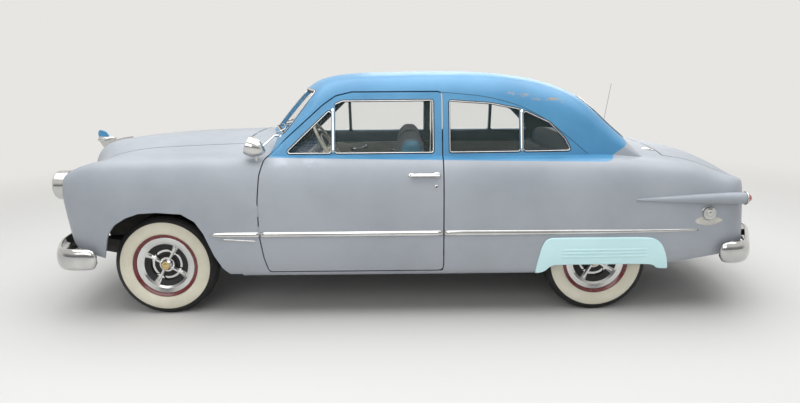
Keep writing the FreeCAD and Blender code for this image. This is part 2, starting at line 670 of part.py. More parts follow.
def plate_bracket(tail):
    """A flat bracket with four screw holes, on two posts from the tail."""
    start = Vec(LENGTH, 0, PLATE_Z)
    skin_x = reach(tail, start, Vec(0, 0, PLATE_Z)).x
    face_x = skin_x + PLATE_STAND + PLATE_THICKNESS
    shape = slab(face_x - PLATE_THICKNESS, face_x, PLATE_Z - PLATE_RISE / 2,
                 PLATE_Z + PLATE_RISE / 2, PLATE_SPAN / 2)
    for y in (-PLATE_HOLE_SPAN / 2, PLATE_HOLE_SPAN / 2):
        for z in (PLATE_Z - PLATE_HOLE_RISE / 2, PLATE_Z + PLATE_HOLE_RISE / 2):
            shape = shape.cut(rod(Vec(skin_x, y, z), Vec(face_x + OVERRUN, y, z), PLATE_HOLE))
    posts = [rod(Vec(skin_x - OVERRUN, side * PLATE_POST_Y, PLATE_Z),
                 Vec(face_x - PLATE_THICKNESS, side * PLATE_POST_Y, PLATE_Z),
                 PLATE_POST).cut(lower_body(0)) for side in (-1, 1)]
    return joined([shape] + posts)


# The nose and the grille
GRILLE_SHARES = [(-0.56, 0.350), (0.56, 0.350), (0.56, 0.490), (-0.56, 0.490)]
GRILLE_ROUND = 80.0
FRONT_REAR_SHARE = -0.55
OPENING_REAR_SHARE = -0.3
FRONT_LOW_SHARE = 0.300
TRIM_PROUD = 10.0
SURROUND_WIDTH = 24.0
# Bars across the opening: height share of the middle, half height
GRILLE_BARS = [(0.425, 23.0), (0.372, 9.0), (0.466, 7.0)]
TOOTH_Y = (-240.0, -120.0, 0.0, 120.0, 240.0)
TOOTH_HALF = 52.0
TOOTH_RADIUS = 15.0
TOOTH_SHARES = [(-1.0, 0.0), (-0.85, 0.5), (-0.4, 0.95), (0, 1.0), (0.4, 0.95), (0.85, 0.5),
                (1.0, 0.0)]
PARKING_Y = 400.0
PARKING_RADIUS = 34.0
PARKING_DEPTH = 40.0
PARKING_CUP_SHARES = [(0.9, 0.0), (0.9, 0.8), (0.1, 1.12), (0.0, 1.12), (0.0, 0.98),
                      (0.3, 0.9), (0.3, 0.0)]
PARKING_LENS_SHARES = [(-0.15, 0.0), (-0.1, 0.5), (0.0, 0.9), (0.3, 0.9), (0.3, 0.0)]


def front_panel(lower_shell):
    half = HOOD_SIDE_SHARE * HALF_WIDTH
    shape = lower_shell.common(slab(-LENGTH, along(FRONT_REAR_SHARE),
                                    FRONT_LOW_SHARE * HEIGHT, HOOD_FRONT_SHARE * HEIGHT, half))
    return shape.cut(front_prism(GRILLE_SHARES, GRILLE_ROUND, -LENGTH,
                                 along(OPENING_REAR_SHARE)))


def parking_point(lower):
    """The front of the left parking lamp, on the grille's middle bar."""
    skin = nose_point(lower, -PARKING_Y, GRILLE_BARS[0][0] * HEIGHT)
    return skin - Vec(TRIM_PROUD + PARKING_DEPTH / 2, 0, 0)


def grille(lower):
    """The chrome surround with its bars, five teeth and the parking lamps' cups."""
    points = [Vec(-LENGTH, y * HALF_WIDTH, z * HEIGHT) for y, z in GRILLE_SHARES]
    inner = rounded_wire(points, GRILLE_ROUND)
    outer = max((inner.makeOffset2D(side * SURROUND_WIDTH, 0, False, False, True)
                 for side in (-1, 1)), key=lambda wire: wire.BoundBox.YLength)
    push = Vec(LENGTH - FRONT_OVERHANG / 3, 0, 0)
    opening = Part.Face(inner).extrude(push)
    proud = lower_body(-TRIM_PROUD)
    surround = proud.cut(lower).common(Part.Face(outer).extrude(push).cut(opening))
    layer = proud.cut(lower_body(PANEL_THICKNESS)).common(opening)
    pieces = [surround]
    for share, half in GRILLE_BARS:
        pieces.append(layer.common(slab(-LENGTH, along(FRONT_REAR_SHARE),
                                        share * HEIGHT - half, share * HEIGHT + half)))
    for y in TOOTH_Y:
        centre = nose_point(lower, y, GRILLE_BARS[0][0] * HEIGHT) - Vec(TRIM_PROUD, 0, 0)
        pieces.append(turned(scaled(TOOTH_SHARES, TOOTH_HALF, TOOTH_RADIUS), centre,
                             Vec(0, 0, 1), len(TOOTH_SHARES)))
    cup = turned(scaled(PARKING_CUP_SHARES, PARKING_DEPTH, PARKING_RADIUS),
                 parking_point(lower), Vec(1, 0, 0))
    return joined(pieces + [cup, mirrored(cup)])


def parking_lamps(lower):
    return both_sides(turned(scaled(PARKING_LENS_SHARES, PARKING_DEPTH, PARKING_RADIUS),
                             parking_point(lower), Vec(1, 0, 0), 3))


# Headlamps: profiles as shares of the depth behind the front and of the radius
LAMP_FRONT_SHARE = -0.849
LAMP_Y = 700.0
LAMP_Z = 888.0
LAMP_RADIUS = 80.0
LAMP_DEPTH = 90.0
LAMP_RIM_SHARES = [(0, 1.0), (0.045, 1.12), (0.18, 1.21), (1.0, 1.21), (1.0, 1.0)]
LAMP_DISH_SHARES = [(0.22, 0.95), (0.22, 1.0), (1.3, 1.0), (1.3, 0), (0.69, 0), (0.5, 0.56)]
LAMP_LENS_SHARES = [(-0.11, 0), (-0.08, 0.45), (0.0, 0.8), (0.155, 0.985), (0.22, 0.985),
                    (0.22, 0)]


def headlamp_bore():
    front = Vec(along(LAMP_FRONT_SHARE), -LAMP_Y, LAMP_Z)
    return rod(front, front + Vec(2 * LAMP_DEPTH, 0, 0), LAMP_RADIUS)


def headlamps(lower):
    """Both headlamps' bright rims with the reflector dish behind the lens."""
    front = Vec(along(LAMP_FRONT_SHARE), -LAMP_Y, LAMP_Z)
    rim, dish = (turned(scaled(shares, LAMP_DEPTH, LAMP_RADIUS), front, Vec(1, 0, 0))
                 for shares in (LAMP_RIM_SHARES, LAMP_DISH_SHARES))
    return both_sides(rim.cut(lower).fuse(dish))


def headlamp_lenses():
    front = Vec(along(LAMP_FRONT_SHARE), -LAMP_Y, LAMP_Z)
    return both_sides(turned(scaled(LAMP_LENS_SHARES, LAMP_DEPTH, LAMP_RADIUS), front,
                             Vec(1, 0, 0), 4))


# Where the steering column runs
STEER_HUB_X = 1100.0
STEER_HUB_Z = 1060.0
STEER_Y = 360.0
STEER_LEAN = 32.0


def steer_point(distance):
    """A point down the column from the steering wheel's hub."""
    lean = math.radians(STEER_LEAN)
    return Vec(FRONT_AXLE_X + STEER_HUB_X - distance * math.cos(lean), -STEER_Y,
               STEER_HUB_Z - distance * math.sin(lean))


def column_bore():
    return rod(steer_point(0), steer_point(STEER_HUB_X), COLUMN_RADIUS)


# Floor, rockers and wheel tubs
FLOOR_HALF = 755.0
BOOT_END_SHARE = 1.72


def floor_pan(lower_shell, trunk_room):
    """The stepped floor with its tunnel, the rockers under the doors, the wheel tubs."""
    wall_x = along(FIREWALL_SHARE)
    step_x = REAR_AXLE_X - WHEELHOUSE_RADIUS - 4 * OVERRUN
    trunk_x = REAR_AXLE_X + WHEELHOUSE_RADIUS + 2 * OVERRUN
    tail_x = along(BOOT_END_SHARE)
    half = FLOOR_HALF
    tub_half = WHEELHOUSE_INNER_Y + FLOOR_THICKNESS
    low, rear, trunk = FLOOR_TOP, REAR_FLOOR_TOP, TRUNK_FLOOR_TOP
    thick = FLOOR_THICKNESS
    front = slab(wall_x, step_x, low - thick, low, half)
    toe = slab(wall_x - BULKHEAD_THICKNESS, wall_x, low - thick, low,
               COWL_SIDE_SHARE * HALF_WIDTH)
    riser = slab(step_x - thick, step_x, low - thick, rear, tub_half)
    shelf = slab(step_x - thick, trunk_x, rear - thick, rear, tub_half)
    drop = slab(trunk_x - thick, trunk_x, trunk - thick, rear, tub_half)
    boot = slab(trunk_x - thick, tail_x, trunk - thick, trunk, tub_half)
    axis_low, axis_high = Vec(wall_x - BULKHEAD_THICKNESS, 0, low - thick), Vec(
        step_x, 0, low - thick)
    tunnel = rod(axis_low, axis_high, TUNNEL_RADIUS + thick).common(
        slab(-LENGTH, LENGTH, low - thick, HEIGHT))
    floor = joined([front, toe, tunnel, riser, shelf, drop, boot])
    floor = floor.cut(rod(axis_low, axis_high - Vec(thick, 0, 0), TUNNEL_RADIUS))
    floor = floor.cut(shaft_line(SHAFT_RADIUS + OVERRUN))
    sill = DOOR_SHARES[0][1] * HEIGHT - SHUT_GAP
    low_x, high_x = along(DOOR_SHARES[0][0]), along(DOOR_SHARES[-1][0])
    rockers = lower_shell.common(slab(low_x, high_x, 0, sill))
    web = block(low_x, high_x, -HALF_WIDTH + DOOR_THICKNESS / 2, thick - FLOOR_HALF,
                sill - thick, sill).common(lower_body(DOOR_THICKNESS / 3))
    kick = block(low_x, high_x, -FLOOR_HALF, thick - FLOOR_HALF, sill - thick, low)
    step = web.fuse(kick)
    tub = wheel_space(0).cut(wheel_space(thick)).common(
        block(-LENGTH, LENGTH, -WIDTH, 0, rear - 2 * thick, HEIGHT)).common(trunk_room)
    return joined([floor, rockers, step, mirrored(step), tub, mirrored(tub)])


# The ladder frame
RAIL_Y = 400.0
RAIL_WIDTH = 60.0
RAIL_SHARES = [(-0.76, 0.285), (-0.40, 0.250), (0.10, 0.245), (0.185, 0.2398), (0.835, 0.2398),
               (0.915, 0.345), (1.19, 0.345), (1.34, 0.315), (1.70, 0.315)]
RAIL_HEIGHT_SHARE = 0.062
CROSS_SHARES = [(-0.66, 0.14, 0.8), (0.0, 0.30, 0.8), (0.71, 0.14, 0.42), (1.66, 0.10, 0.8)]
BRACE_SPAN_SHARES = (0.26, 0.66)
BRACE_WIDTH = 55.0
BRACE_HEIGHT = 60.0


def rail_top(station):
    return read_line(RAIL_SHARES, station) * HEIGHT


def cross_top(member):
    """The top of a cross member: its depth is a share of the rail's."""
    station, _, depth_share = CROSS_SHARES[member]
    return rail_top(station) - (1 - depth_share) * RAIL_HEIGHT_SHARE * HEIGHT


def frame():
    """Two side rails that rise over the rear axle, their braces and cross members."""
    rise = RAIL_HEIGHT_SHARE
    outline = RAIL_SHARES + [(s, top - rise) for s, top in reversed(RAIL_SHARES)]
    rail = side_prism(outline, 0, -RAIL_Y - RAIL_WIDTH / 2, -RAIL_Y + RAIL_WIDTH / 2)
    pieces = [rail, mirrored(rail)]
    for member, (station, length_share, _) in enumerate(CROSS_SHARES):
        foot = rail_top(station) - rise * HEIGHT
        half = length_share * RAIL_Y
        x = along(station)
        pieces.append(slab(x - half, x + half, foot, cross_top(member), RAIL_Y))
    front, back = map(along, BRACE_SPAN_SHARES)
    low = rail_top(BRACE_SPAN_SHARES[0]) - rise * HEIGHT
    for side in (-1, 1):
        one, two = Vec(front, -side * RAIL_Y, low), Vec(back, side * RAIL_Y, low)
        across = Vec(0, BRACE_WIDTH, 0)
        pieces.append(panel_of([one - across, two - across, two + across, one + across], 0,
                               Vec(0, 0, BRACE_HEIGHT)))
    return joined(pieces)


# Front suspension: arms, king pins, knuckles
KINGPIN_Y = 652.0
KINGPIN_RADIUS = 10.0
KNUCKLE_RADIUS = 20.0
ARM_DROP = 95.0
ARM_THICKNESS = 22.0
ARM_SPREAD = 130.0
ARM_INNER_Y = 330.0
BOSS_HALF = 45.0
# The hole through an arm: its corners as mixtures of the arm's four corners
ARM_HOLE_SHARES = [(0.55, 0.20, 0.0, 0.25), (0.20, 0.55, 0.25, 0.0),
                   (0.15, 0.15, 0.35, 0.35)]
BACKING_RADIUS = 55.0
BACKING_THICKNESS = 5.0
STEER_ARM = 120.0
STEER_ARM_RADIUS = 10.5
RUNNING_GAP = 0.3
SPINDLE_RADIUS = 15.0


def front_suspension():
    """Both sides' upper and lower arms with the king pin between their ends."""
    pieces = []
    for height in (AXLE_Z + ARM_DROP, AXLE_Z - ARM_DROP - ARM_THICKNESS):
        inner = -ARM_INNER_Y if height < AXLE_Z else -RAIL_Y - RAIL_WIDTH / 2
        corners = [Vec(FRONT_AXLE_X - ARM_SPREAD, inner, height),
                   Vec(FRONT_AXLE_X + ARM_SPREAD, inner, height),
                   Vec(FRONT_AXLE_X + KNUCKLE_RADIUS, -KINGPIN_Y - KNUCKLE_RADIUS, height),
                   Vec(FRONT_AXLE_X - KNUCKLE_RADIUS, -KINGPIN_Y - KNUCKLE_RADIUS, height)]
        arm = panel_of(corners, 0, Vec(0, 0, ARM_THICKNESS))
        hole = [sum((c * share for c, share in zip(corners, shares)), Vec(0, 0, 0))
                for shares in ARM_HOLE_SHARES]
        pieces.append(arm.cut(panel_of(hole, 0, Vec(0, 0, ARM_THICKNESS))))
    post = Vec(FRONT_AXLE_X, -KINGPIN_Y, AXLE_Z - ARM_DROP - OVERRUN / 2)
    pieces.append(Part.makeCylinder(KINGPIN_RADIUS, 2 * ARM_DROP + OVERRUN, post))
    for side in (-1, 1):
        ear = BOSS_HALF + RUNNING_GAP
        low = ear if side > 0 else -ARM_DROP - OVERRUN / 4
        high = ARM_DROP + OVERRUN / 4 if side > 0 else -ear
        pieces.append(Part.makeCylinder(KNUCKLE_RADIUS, high - low,
                                        Vec(FRONT_AXLE_X, -KINGPIN_Y, AXLE_Z + low)))
    arms = joined(pieces)
    drop = RAIL_HEIGHT_SHARE * HEIGHT
    foot = rail_top(0) - drop
    mount = block(FRONT_AXLE_X - ARM_SPREAD, FRONT_AXLE_X + ARM_SPREAD,
                  -ARM_INNER_Y - OVERRUN, -ARM_INNER_Y + OVERRUN,
                  AXLE_Z - ARM_DROP - ARM_THICKNESS, foot)
    return arms.fuse(mount)


def knuckle():
    """The left knuckle: a sleeve on the king pin, the spindle and a steering arm."""
    centre = Vec(FRONT_AXLE_X, -KINGPIN_Y, AXLE_Z)
    boss = Part.makeCylinder(KNUCKLE_RADIUS, 2 * BOSS_HALF, centre - Vec(0, 0, BOSS_HALF))
    spindle = Part.makeCylinder(SPINDLE_RADIUS, SPINDLE_END_Y - KINGPIN_Y, centre,
                                Vec(0, -1, 0))
    flange = Part.makeCylinder(BACKING_RADIUS, BACKING_THICKNESS,
                               centre - Vec(0, KNUCKLE_RADIUS + BACKING_THICKNESS / 2, 0),
                               Vec(0, -1, 0))
    arm = rod(centre, centre + Vec(STEER_ARM, STEER_ARM / 4, 0), STEER_ARM_RADIUS)
    shape = joined([boss, spindle, flange, arm])
    return shape.cut(Part.makeCylinder(KINGPIN_RADIUS + PIN_CLEARANCE, 4 * BOSS_HALF,
                                       centre - Vec(0, 0, 2 * BOSS_HALF)))


# Wheels
WHEEL_Y = TRACK / 2
SIDEWALL_SHARES = [(0.37, 0.0), (0.47, 0.20), (0.50, 0.42), (0.47, 0.66), (0.36, 0.90),
                   (0.24, 0.985), (0.0, 1.0)]
DISC_DEPTH = 40.0
HUB_OUTER_Y = 760.0
COVER_RADIUS = 192.0
COVER_DOME = 26.0
CAP_RADIUS = 36.0
DRUM_RADIUS = 140.0
HUB_RADIUS = 32.0
SPINDLE_END_Y = WHEEL_Y + RIM_WIDTH / 2 - COVER_DOME - OVERRUN / 4 - 2 * RUNNING_GAP


# The bright cover: its face, the cap on it and the four curved slots and arms
COVER_SHARES = [(-1.0, 0.20), (-1.0, 0.42), (-0.9, 0.60), (-0.2, 0.85), (0.0, 1.0)]
CAP_SHARES = [(-1.2, 0), (-1.2, 1.0), (-0.25, 1.0), (0.2, 0.7), (0.4, 0)]
SLOT_RADII = (60.0, 110.0)
SLOT_TURN = 34.0
COVER_QUARTER = 90.0
SPINNER_TURN = 60.0
SPINNER_REACH = 140.0
SPINNER_WIDTH = 15.0


def tire(axle_x):
    """A tall-sided tire on the left, with a rounded section."""
    centre = Vec(axle_x, -WHEEL_Y, AXLE_Z)
    wall = TIRE_RADIUS - RIM_RADIUS
    points = [centre + Vec(0, side * share * TIRE_WIDTH, RIM_RADIUS + rise * wall)
              for side in (-1, 1) for share, rise in SIDEWALL_SHARES]
    count = len(SIDEWALL_SHARES)
    outer = points[:count] + list(reversed(points[count:2 * count - 1]))
    curve = Part.BSplineCurve()
    curve.interpolate(outer)
    edges = [curve.toShape(), Part.makeLine(outer[-1], outer[0])]
    return Part.Face(Part.Wire(edges)).revolve(centre, Vec(0, 1, 0), FULL_TURN)


def wheel(axle_x):
    """A steel wheel with its drum and hub, bored for the spindle."""
    centre = Vec(axle_x, -WHEEL_Y, AXLE_Z)
    half, lip = RIM_WIDTH / 2, OVERRUN / 2
    deep = RIM_RADIUS - 2 * lip
    barrel = turned([(-half, RIM_RADIUS), (half, RIM_RADIUS), (half, deep), (lip, deep - lip),
                     (-half, deep)], centre, Vec(0, -1, 0))
    bowl = turned([(DISC_DEPTH / 2, 0), (DISC_DEPTH / 2, deep - 2 * lip),
                   (half - lip, deep), (half - lip, deep - lip),
                   (DISC_DEPTH / 2 + lip, deep - 4 * lip), (DISC_DEPTH / 2 + lip, 0)],
                  centre, Vec(0, -1, 0))
    hub = turned([(-DISC_DEPTH / 2, 0), (HUB_OUTER_Y - WHEEL_Y, 0),
                  (HUB_OUTER_Y - WHEEL_Y, HUB_RADIUS), (-DISC_DEPTH / 2, HUB_RADIUS)],
                 centre, Vec(0, -1, 0))
    drum = turned([(-DISC_DEPTH / 2, DRUM_RADIUS), (DISC_DEPTH / 2, DRUM_RADIUS),
                   (DISC_DEPTH / 2, 0), (DISC_DEPTH / 2 - lip, 0),
                   (DISC_DEPTH / 2 - lip, DRUM_RADIUS - lip),
                   (-DISC_DEPTH / 2, DRUM_RADIUS - lip)], centre, Vec(0, -1, 0))
    shape = joined([barrel, bowl, hub, drum])
    bore = Part.makeCylinder(SPINDLE_RADIUS + RUNNING_GAP,
                             HUB_OUTER_Y - WHEEL_Y + DISC_DEPTH,
                             centre + Vec(0, DISC_DEPTH, 0), Vec(0, -1, 0))
    return shape.cut(bore)


def cover_slot(centre, turn):
    """A curved slot through the cover, about a middle turn in degrees."""
    inner, outer = SLOT_RADII
    middle = (inner + outer) / 2
    bulge = math.degrees((outer - inner) / 2 / middle)

    def at(radius, degrees):
        angle = math.radians(degrees)
        return centre + Vec(radius * math.cos(angle), -RIM_WIDTH, radius * math.sin(angle))

    low, high = turn - SLOT_TURN / 2, turn + SLOT_TURN / 2
    arcs = [(at(outer, low), at(outer, turn), at(outer, high)),
            (at(outer, high), at(middle, high + bulge), at(inner, high)),
            (at(inner, high), at(inner, turn), at(inner, low)),
            (at(inner, low), at(middle, low - bulge), at(outer, low))]
    wire = Part.Wire([Part.Arc(*points).toShape() for points in arcs])
    return Part.Face(wire).extrude(Vec(0, RIM_WIDTH, 0))


def wheel_cover(axle_x):
    """The bright dished cover with four slots, a four-armed spinner and a cap."""
    centre = Vec(axle_x, -WHEEL_Y, AXLE_Z)
    out = Vec(0, -1, 0)
    seat = centre + out * (RIM_WIDTH / 2)
    face = scaled(COVER_SHARES, COVER_DOME, COVER_RADIUS)
    back = [(far + OVERRUN / 8, radius) for far, radius in reversed(face)]
    shell = turned(face + back, seat, out)
    pieces = [turned(scaled(CAP_SHARES, COVER_DOME, CAP_RADIUS), seat, out)]
    for i in range(4):
        turn = SPINNER_TURN + i * COVER_QUARTER
        shell = shell.cut(cover_slot(centre, turn + COVER_QUARTER / 2))
        tip, wide = seat + Vec(SPINNER_REACH, 0, 0), Vec(0, 0, SPINNER_WIDTH / 2)
        arm = panel_of([seat - wide, tip - wide / 2, tip + wide / 2, seat + wide], 0,
                       Vec(0, COVER_DOME / 2, 0))
        arm.translate(Vec(0, COVER_DOME / 4, 0))
        arm.rotate(centre, Vec(0, 1, 0), -turn)
        pieces.append(arm)
    return joined([shell] + pieces)


# Rear axle, springs and driveshaft
AXLE_TUBE_RADIUS = 38.0
DIFFERENTIAL_RADIUS = 125.0
DIFFERENTIAL_NOSE_SHARES = (1.5, 1.4)
BACKING_SHARE = 0.9
SPRING_THICKNESS = 26.0
SPRING_WIDTH = 55.0
SPRING_SHARES = (0.880, 1.45)
SHAFT_RADIUS = 34.0
GEARBOX_REAR = 1020.0
GEARBOX_Z = 430.0


def rear_axle():
    """Axle tube with its differential, spindles and backing plates."""
    centre = Vec(REAR_AXLE_X, 0, AXLE_Z)
    end = WHEEL_Y - DISC_DEPTH / 2 - RUNNING_GAP
    tube = Part.makeCylinder(AXLE_TUBE_RADIUS, 2 * end, centre - Vec(0, end, 0), Vec(0, 1, 0))
    spindle = Part.makeCylinder(SPINDLE_RADIUS, 2 * SPINDLE_END_Y,
                                centre - Vec(0, SPINDLE_END_Y, 0), Vec(0, 1, 0))
    ball = Part.makeSphere(DIFFERENTIAL_RADIUS, centre)
    far, wide = DIFFERENTIAL_NOSE_SHARES
    nose = rod(centre, centre - Vec(DIFFERENTIAL_RADIUS * far, 0, 0), AXLE_TUBE_RADIUS * wide)
    pieces = [tube, spindle, ball, nose]
    for side in (-1, 1):
        start = centre + Vec(0, side * (end - BACKING_THICKNESS * 2), 0)
        pieces.append(Part.makeCylinder(DRUM_RADIUS * BACKING_SHARE, BACKING_THICKNESS, start,
                                        Vec(0, side, 0)))
    return joined(pieces)


def leaf_springs():
    """A leaf pack under each end of the axle, hung from the frame rails."""
    front_x, rear_x = along(SPRING_SHARES[0]), along(SPRING_SHARES[1])
    top = AXLE_Z - AXLE_TUBE_RADIUS - SEAT_GAP
    eye = top + SPRING_THICKNESS
    y = -RAIL_Y - SPRING_WIDTH / 2

    def arch(drop):
        return Part.Arc(Vec(front_x, y, eye - drop), Vec(REAR_AXLE_X, y, top - drop),
                        Vec(rear_x, y, eye - drop)).toShape()

    upper, lower = arch(0), arch(SPRING_THICKNESS)
    ends = [Part.makeLine(Vec(x, y, eye), Vec(x, y, eye - SPRING_THICKNESS))
            for x in (front_x, rear_x)]
    wire = Part.Wire(Part.__sortEdges__([upper, lower] + ends))
    spring = Part.Face(wire).extrude(Vec(0, SPRING_WIDTH, 0))
    pieces = [spring]
    for station in SPRING_SHARES:
        x = along(station)
        foot = rail_top(station) - RAIL_HEIGHT_SHARE * HEIGHT
        side = OVERRUN if station < 1 else -OVERRUN
        low_x, high_x = min(x, x + side), max(x, x + side)
        pieces.append(block(low_x, high_x, y, y + SPRING_WIDTH, eye - SPRING_THICKNESS, foot))
    return both_sides(joined(pieces))


def shaft_line(radius):
    """A round bar from the gearbox to the differential."""
    start = Vec(FRONT_AXLE_X + GEARBOX_REAR - OVERRUN, 0, GEARBOX_Z)
    end = Vec(REAR_AXLE_X - DIFFERENTIAL_RADIUS, 0, AXLE_Z)
    return rod(start, end, radius)


def driveshaft():
    return shaft_line(SHAFT_RADIUS).cut(engine()).cut(rear_axle())


# Engine, radiator, exhaust and tank
ENGINE_FRONT, ENGINE_REAR = -330.0, 300.0
ENGINE_HIGH = 930.0
ENGINE_HALF = 290.0
ENGINE_BASE_SHARE = 0.45
BELL_RADIUS = 190.0
BELL_SHARES = (1.2, 0.75)
GEARBOX_RADIUS = 92.0
RADIATOR_DEPTH = 65.0
RADIATOR_HALF = 300.0
RADIATOR_TOP = 930.0
PIPE_RADIUS = 24.0
MUFFLER_RADIUS = 62.0
TANK_LEFT = 345.0
TANK_RIGHT = 230.0
TANK_SHARES = (1.37, 1.61)
TANK_LOW = 300.0


def engine():
    """The engine block on its cross member, with its bell housing and gearbox."""
    x = FRONT_AXLE_X
    base = cross_top(1)
    low, wide = ENGINE_HALF * ENGINE_BASE_SHARE, ENGINE_HALF
    outline = [Vec(x + ENGINE_FRONT, -low, base), Vec(x + ENGINE_FRONT, low, base),
               Vec(x + ENGINE_FRONT, wide, base + ENGINE_HALF),
               Vec(x + ENGINE_FRONT, wide, ENGINE_HIGH - ENGINE_HALF / 2),
               Vec(x + ENGINE_FRONT, low, ENGINE_HIGH),
               Vec(x + ENGINE_FRONT, -low, ENGINE_HIGH),
               Vec(x + ENGINE_FRONT, -wide, ENGINE_HIGH - ENGINE_HALF / 2),
               Vec(x + ENGINE_FRONT, -wide, base + ENGINE_HALF)]
    body = panel_of(outline, OVERRUN, Vec(ENGINE_REAR - ENGINE_FRONT, 0, 0))
    narrow, long = BELL_SHARES
    bell = Part.makeCone(BELL_RADIUS, GEARBOX_RADIUS * narrow, ENGINE_REAR * long,
                         Vec(x + ENGINE_REAR - OVERRUN, 0, GEARBOX_Z + GEARBOX_RADIUS),
                         Vec(1, 0, 0)).common(slab(-LENGTH, LENGTH, GEARBOX_Z / 2))
    box = rod(Vec(x + ENGINE_REAR, 0, GEARBOX_Z), Vec(x + GEARBOX_REAR, 0, GEARBOX_Z),
              GEARBOX_RADIUS)
    return joined([body, bell, box])


def radiator():
    """Core and tanks, standing on the front cross member."""
    foot = cross_top(0)
    x = along(CROSS_SHARES[0][0])
    core = slab(x - RADIATOR_DEPTH / 2, x + RADIATOR_DEPTH / 2, foot, RADIATOR_TOP,
                RADIATOR_HALF)
    tank = slab(x - RADIATOR_DEPTH / 2 - OVERRUN / 2, x + RADIATOR_DEPTH / 2 + OVERRUN / 2,
                RADIATOR_TOP - 2 * OVERRUN, RADIATOR_TOP + OVERRUN, RADIATOR_HALF)
    return core.fuse(tank)


PIPE_SHARES = [(0.04, 0.20, 0.330), (0.06, 0.32, 0.270), (0.16, 0.32, 0.158),
               (0.805, 0.32, 0.158), (0.885, 0.32, 0.285), (1.17, 0.32, 0.285),
               (1.34, 0.32, 0.190), (1.86, 0.40, 0.185)]
MUFFLER_SHARES = (0.37, 0.53)


def exhaust():
    """The pipe from the engine over the rear axle to the tail, with its muffler."""
    points = [Vec(along(s), y * HALF_WIDTH, z * HEIGHT) for s, y, z in PIPE_SHARES]
    pipe = tube_run(points, PIPE_RADIUS, PIPE_RADIUS * 3)
    _, y_share, z_share = PIPE_SHARES[2]
    low, high = (Vec(along(s), y_share * HALF_WIDTH, z_share * HEIGHT)
                 for s in MUFFLER_SHARES)
    return pipe.fuse(rod(low, high, MUFFLER_RADIUS)).cut(engine())


def fuel_tank():
    low, high = (along(station) for station in TANK_SHARES)
    shape = block(low, high, -TANK_LEFT, TANK_RIGHT, TANK_LOW,
                  TRUNK_FLOOR_TOP - FLOOR_THICKNESS)
    return shape.makeFillet(OVERRUN, [e for e in shape.Edges
                                      if e.BoundBox.ZMax < TANK_LOW + OVERRUN])


# Front aprons between the engine bay and the wheels
APRON_SHARES = [(-0.502, 0.295), (-0.502, 0.49), (-0.66, 0.640), (-0.66, 0.650),
                (-0.495, 0.497), (-0.495, 0.295)]
APRON_FRONT_SHARE = -0.62


def front_aprons(bay_room):
    shape = front_prism(APRON_SHARES, 0, along(APRON_FRONT_SHARE),
                        along(FIREWALL_SHARE) - BULKHEAD_THICKNESS)
    return both_sides(shape.common(bay_room))


# Bumpers: half of each blade's plan from its tip, as station and half-width share
FRONT_BUMPER_SHARES = [(-0.4817, 0.9835), (-0.7610, 0.989), (-0.9232, 0.690), (-0.9688, 0)]
REAR_BUMPER_SHARES = [(1.6012, 0.9725), (1.7274, 0.978), (1.9165, 0.4915), (1.9900, 0)]
BUMPER_BENDS = (150.0, 650.0, 5000.0)
BUMPER_HALF = 72.0
BUMPER_DEPTH = 34.0
BUMPER_SKIN = 10.0
FRONT_BUMPER_Z = 427.0
REAR_BUMPER_Z = 431.0
BRACKET_HALF = 22.0


def bumper(shares, height, outward, rail_end):
    """A crowned blade bent round the corners, on two brackets from the frame rails."""
    near = [Vec(along(s), -y * HALF_WIDTH, height) for s, y in shares]
    points = near + [Vec(p.x, -p.y, p.z) for p in reversed(near[:-1])]
    path = bent_path(points, BUMPER_BENDS + BUMPER_BENDS[-2::-1])
    base, up = points[0], Vec(0, 0, 1)
    side = (points[1] - base).normalize().cross(up) * outward

    def at(depth, rise):
        return base + side * depth + up * rise

    deep, thick, half = BUMPER_DEPTH, BUMPER_SKIN, BUMPER_HALF
    section = [Part.Arc(at(0, -half), at(deep, 0), at(0, half)).toShape(),
               Part.makeLine(at(0, half), at(-thick / 2, half - thick)),
               Part.Arc(at(-thick / 2, half - thick), at(deep - thick, 0),
                        at(-thick / 2, thick - half)).toShape(),
               Part.makeLine(at(-thick / 2, thick - half), at(0, -half))]
    blade = path.makePipeShell([Part.Wire(section)], True, True)
    inner = reach(blade, Vec(0, RAIL_Y, height), Vec(outward * LENGTH, RAIL_Y, height))
    low_x, high_x = sorted((rail_end, inner.x + outward * thick / 2))
    brackets = [block(low_x, high_x, y - thick / 2, y + thick / 2,
                      height - BRACKET_HALF, height + BRACKET_HALF) for y in (-RAIL_Y, RAIL_Y)]
    return joined([blade] + brackets)


# Tail lamp pods: the ends of their axis as station, half-width and height shares
POD_START_SHARES = (1.159, 0.9945, 0.4922)
POD_END_SHARES = (1.725, 0.9286, 0.4872)
POD_RADIUS = 38.0
POD_SHARES = [(0, 0.15), (0.35, 0.62), (0.75, 0.96), (1.0, 1.0), (1.0, 0), (0, 0)]
TAIL_LAMP_SHARES = [(0, 1.05), (0.2, 1.05), (0.3, 0.86), (0.8, 0.58), (0.95, 0), (0, 0)]


def pod_ends():
    return [Vec(along(s), -y * HALF_WIDTH, z * HEIGHT)
            for s, y, z in (POD_START_SHARES, POD_END_SHARES)]


def tail_pod():
    """The left tail lamp's long pod along the rear fender."""
    start, end = pod_ends()
    way = end - start
    profile = scaled(POD_SHARES, way.Length, POD_RADIUS)
    return turned(profile, start, way.normalize(), 4)


def tail_lamps():
    start, end = pod_ends()
    profile = scaled(TAIL_LAMP_SHARES, POD_RADIUS, POD_RADIUS)
    return both_sides(turned(profile, end, (end - start).normalize()))


# Fender skirts
SKIRT_THICKNESS = 12.0
RIB_SHARES = (0.305, 0.282, 0.259)
RIB_SPAN_SHARES = (0.905, 1.268)
RIB_HALF = 5.0


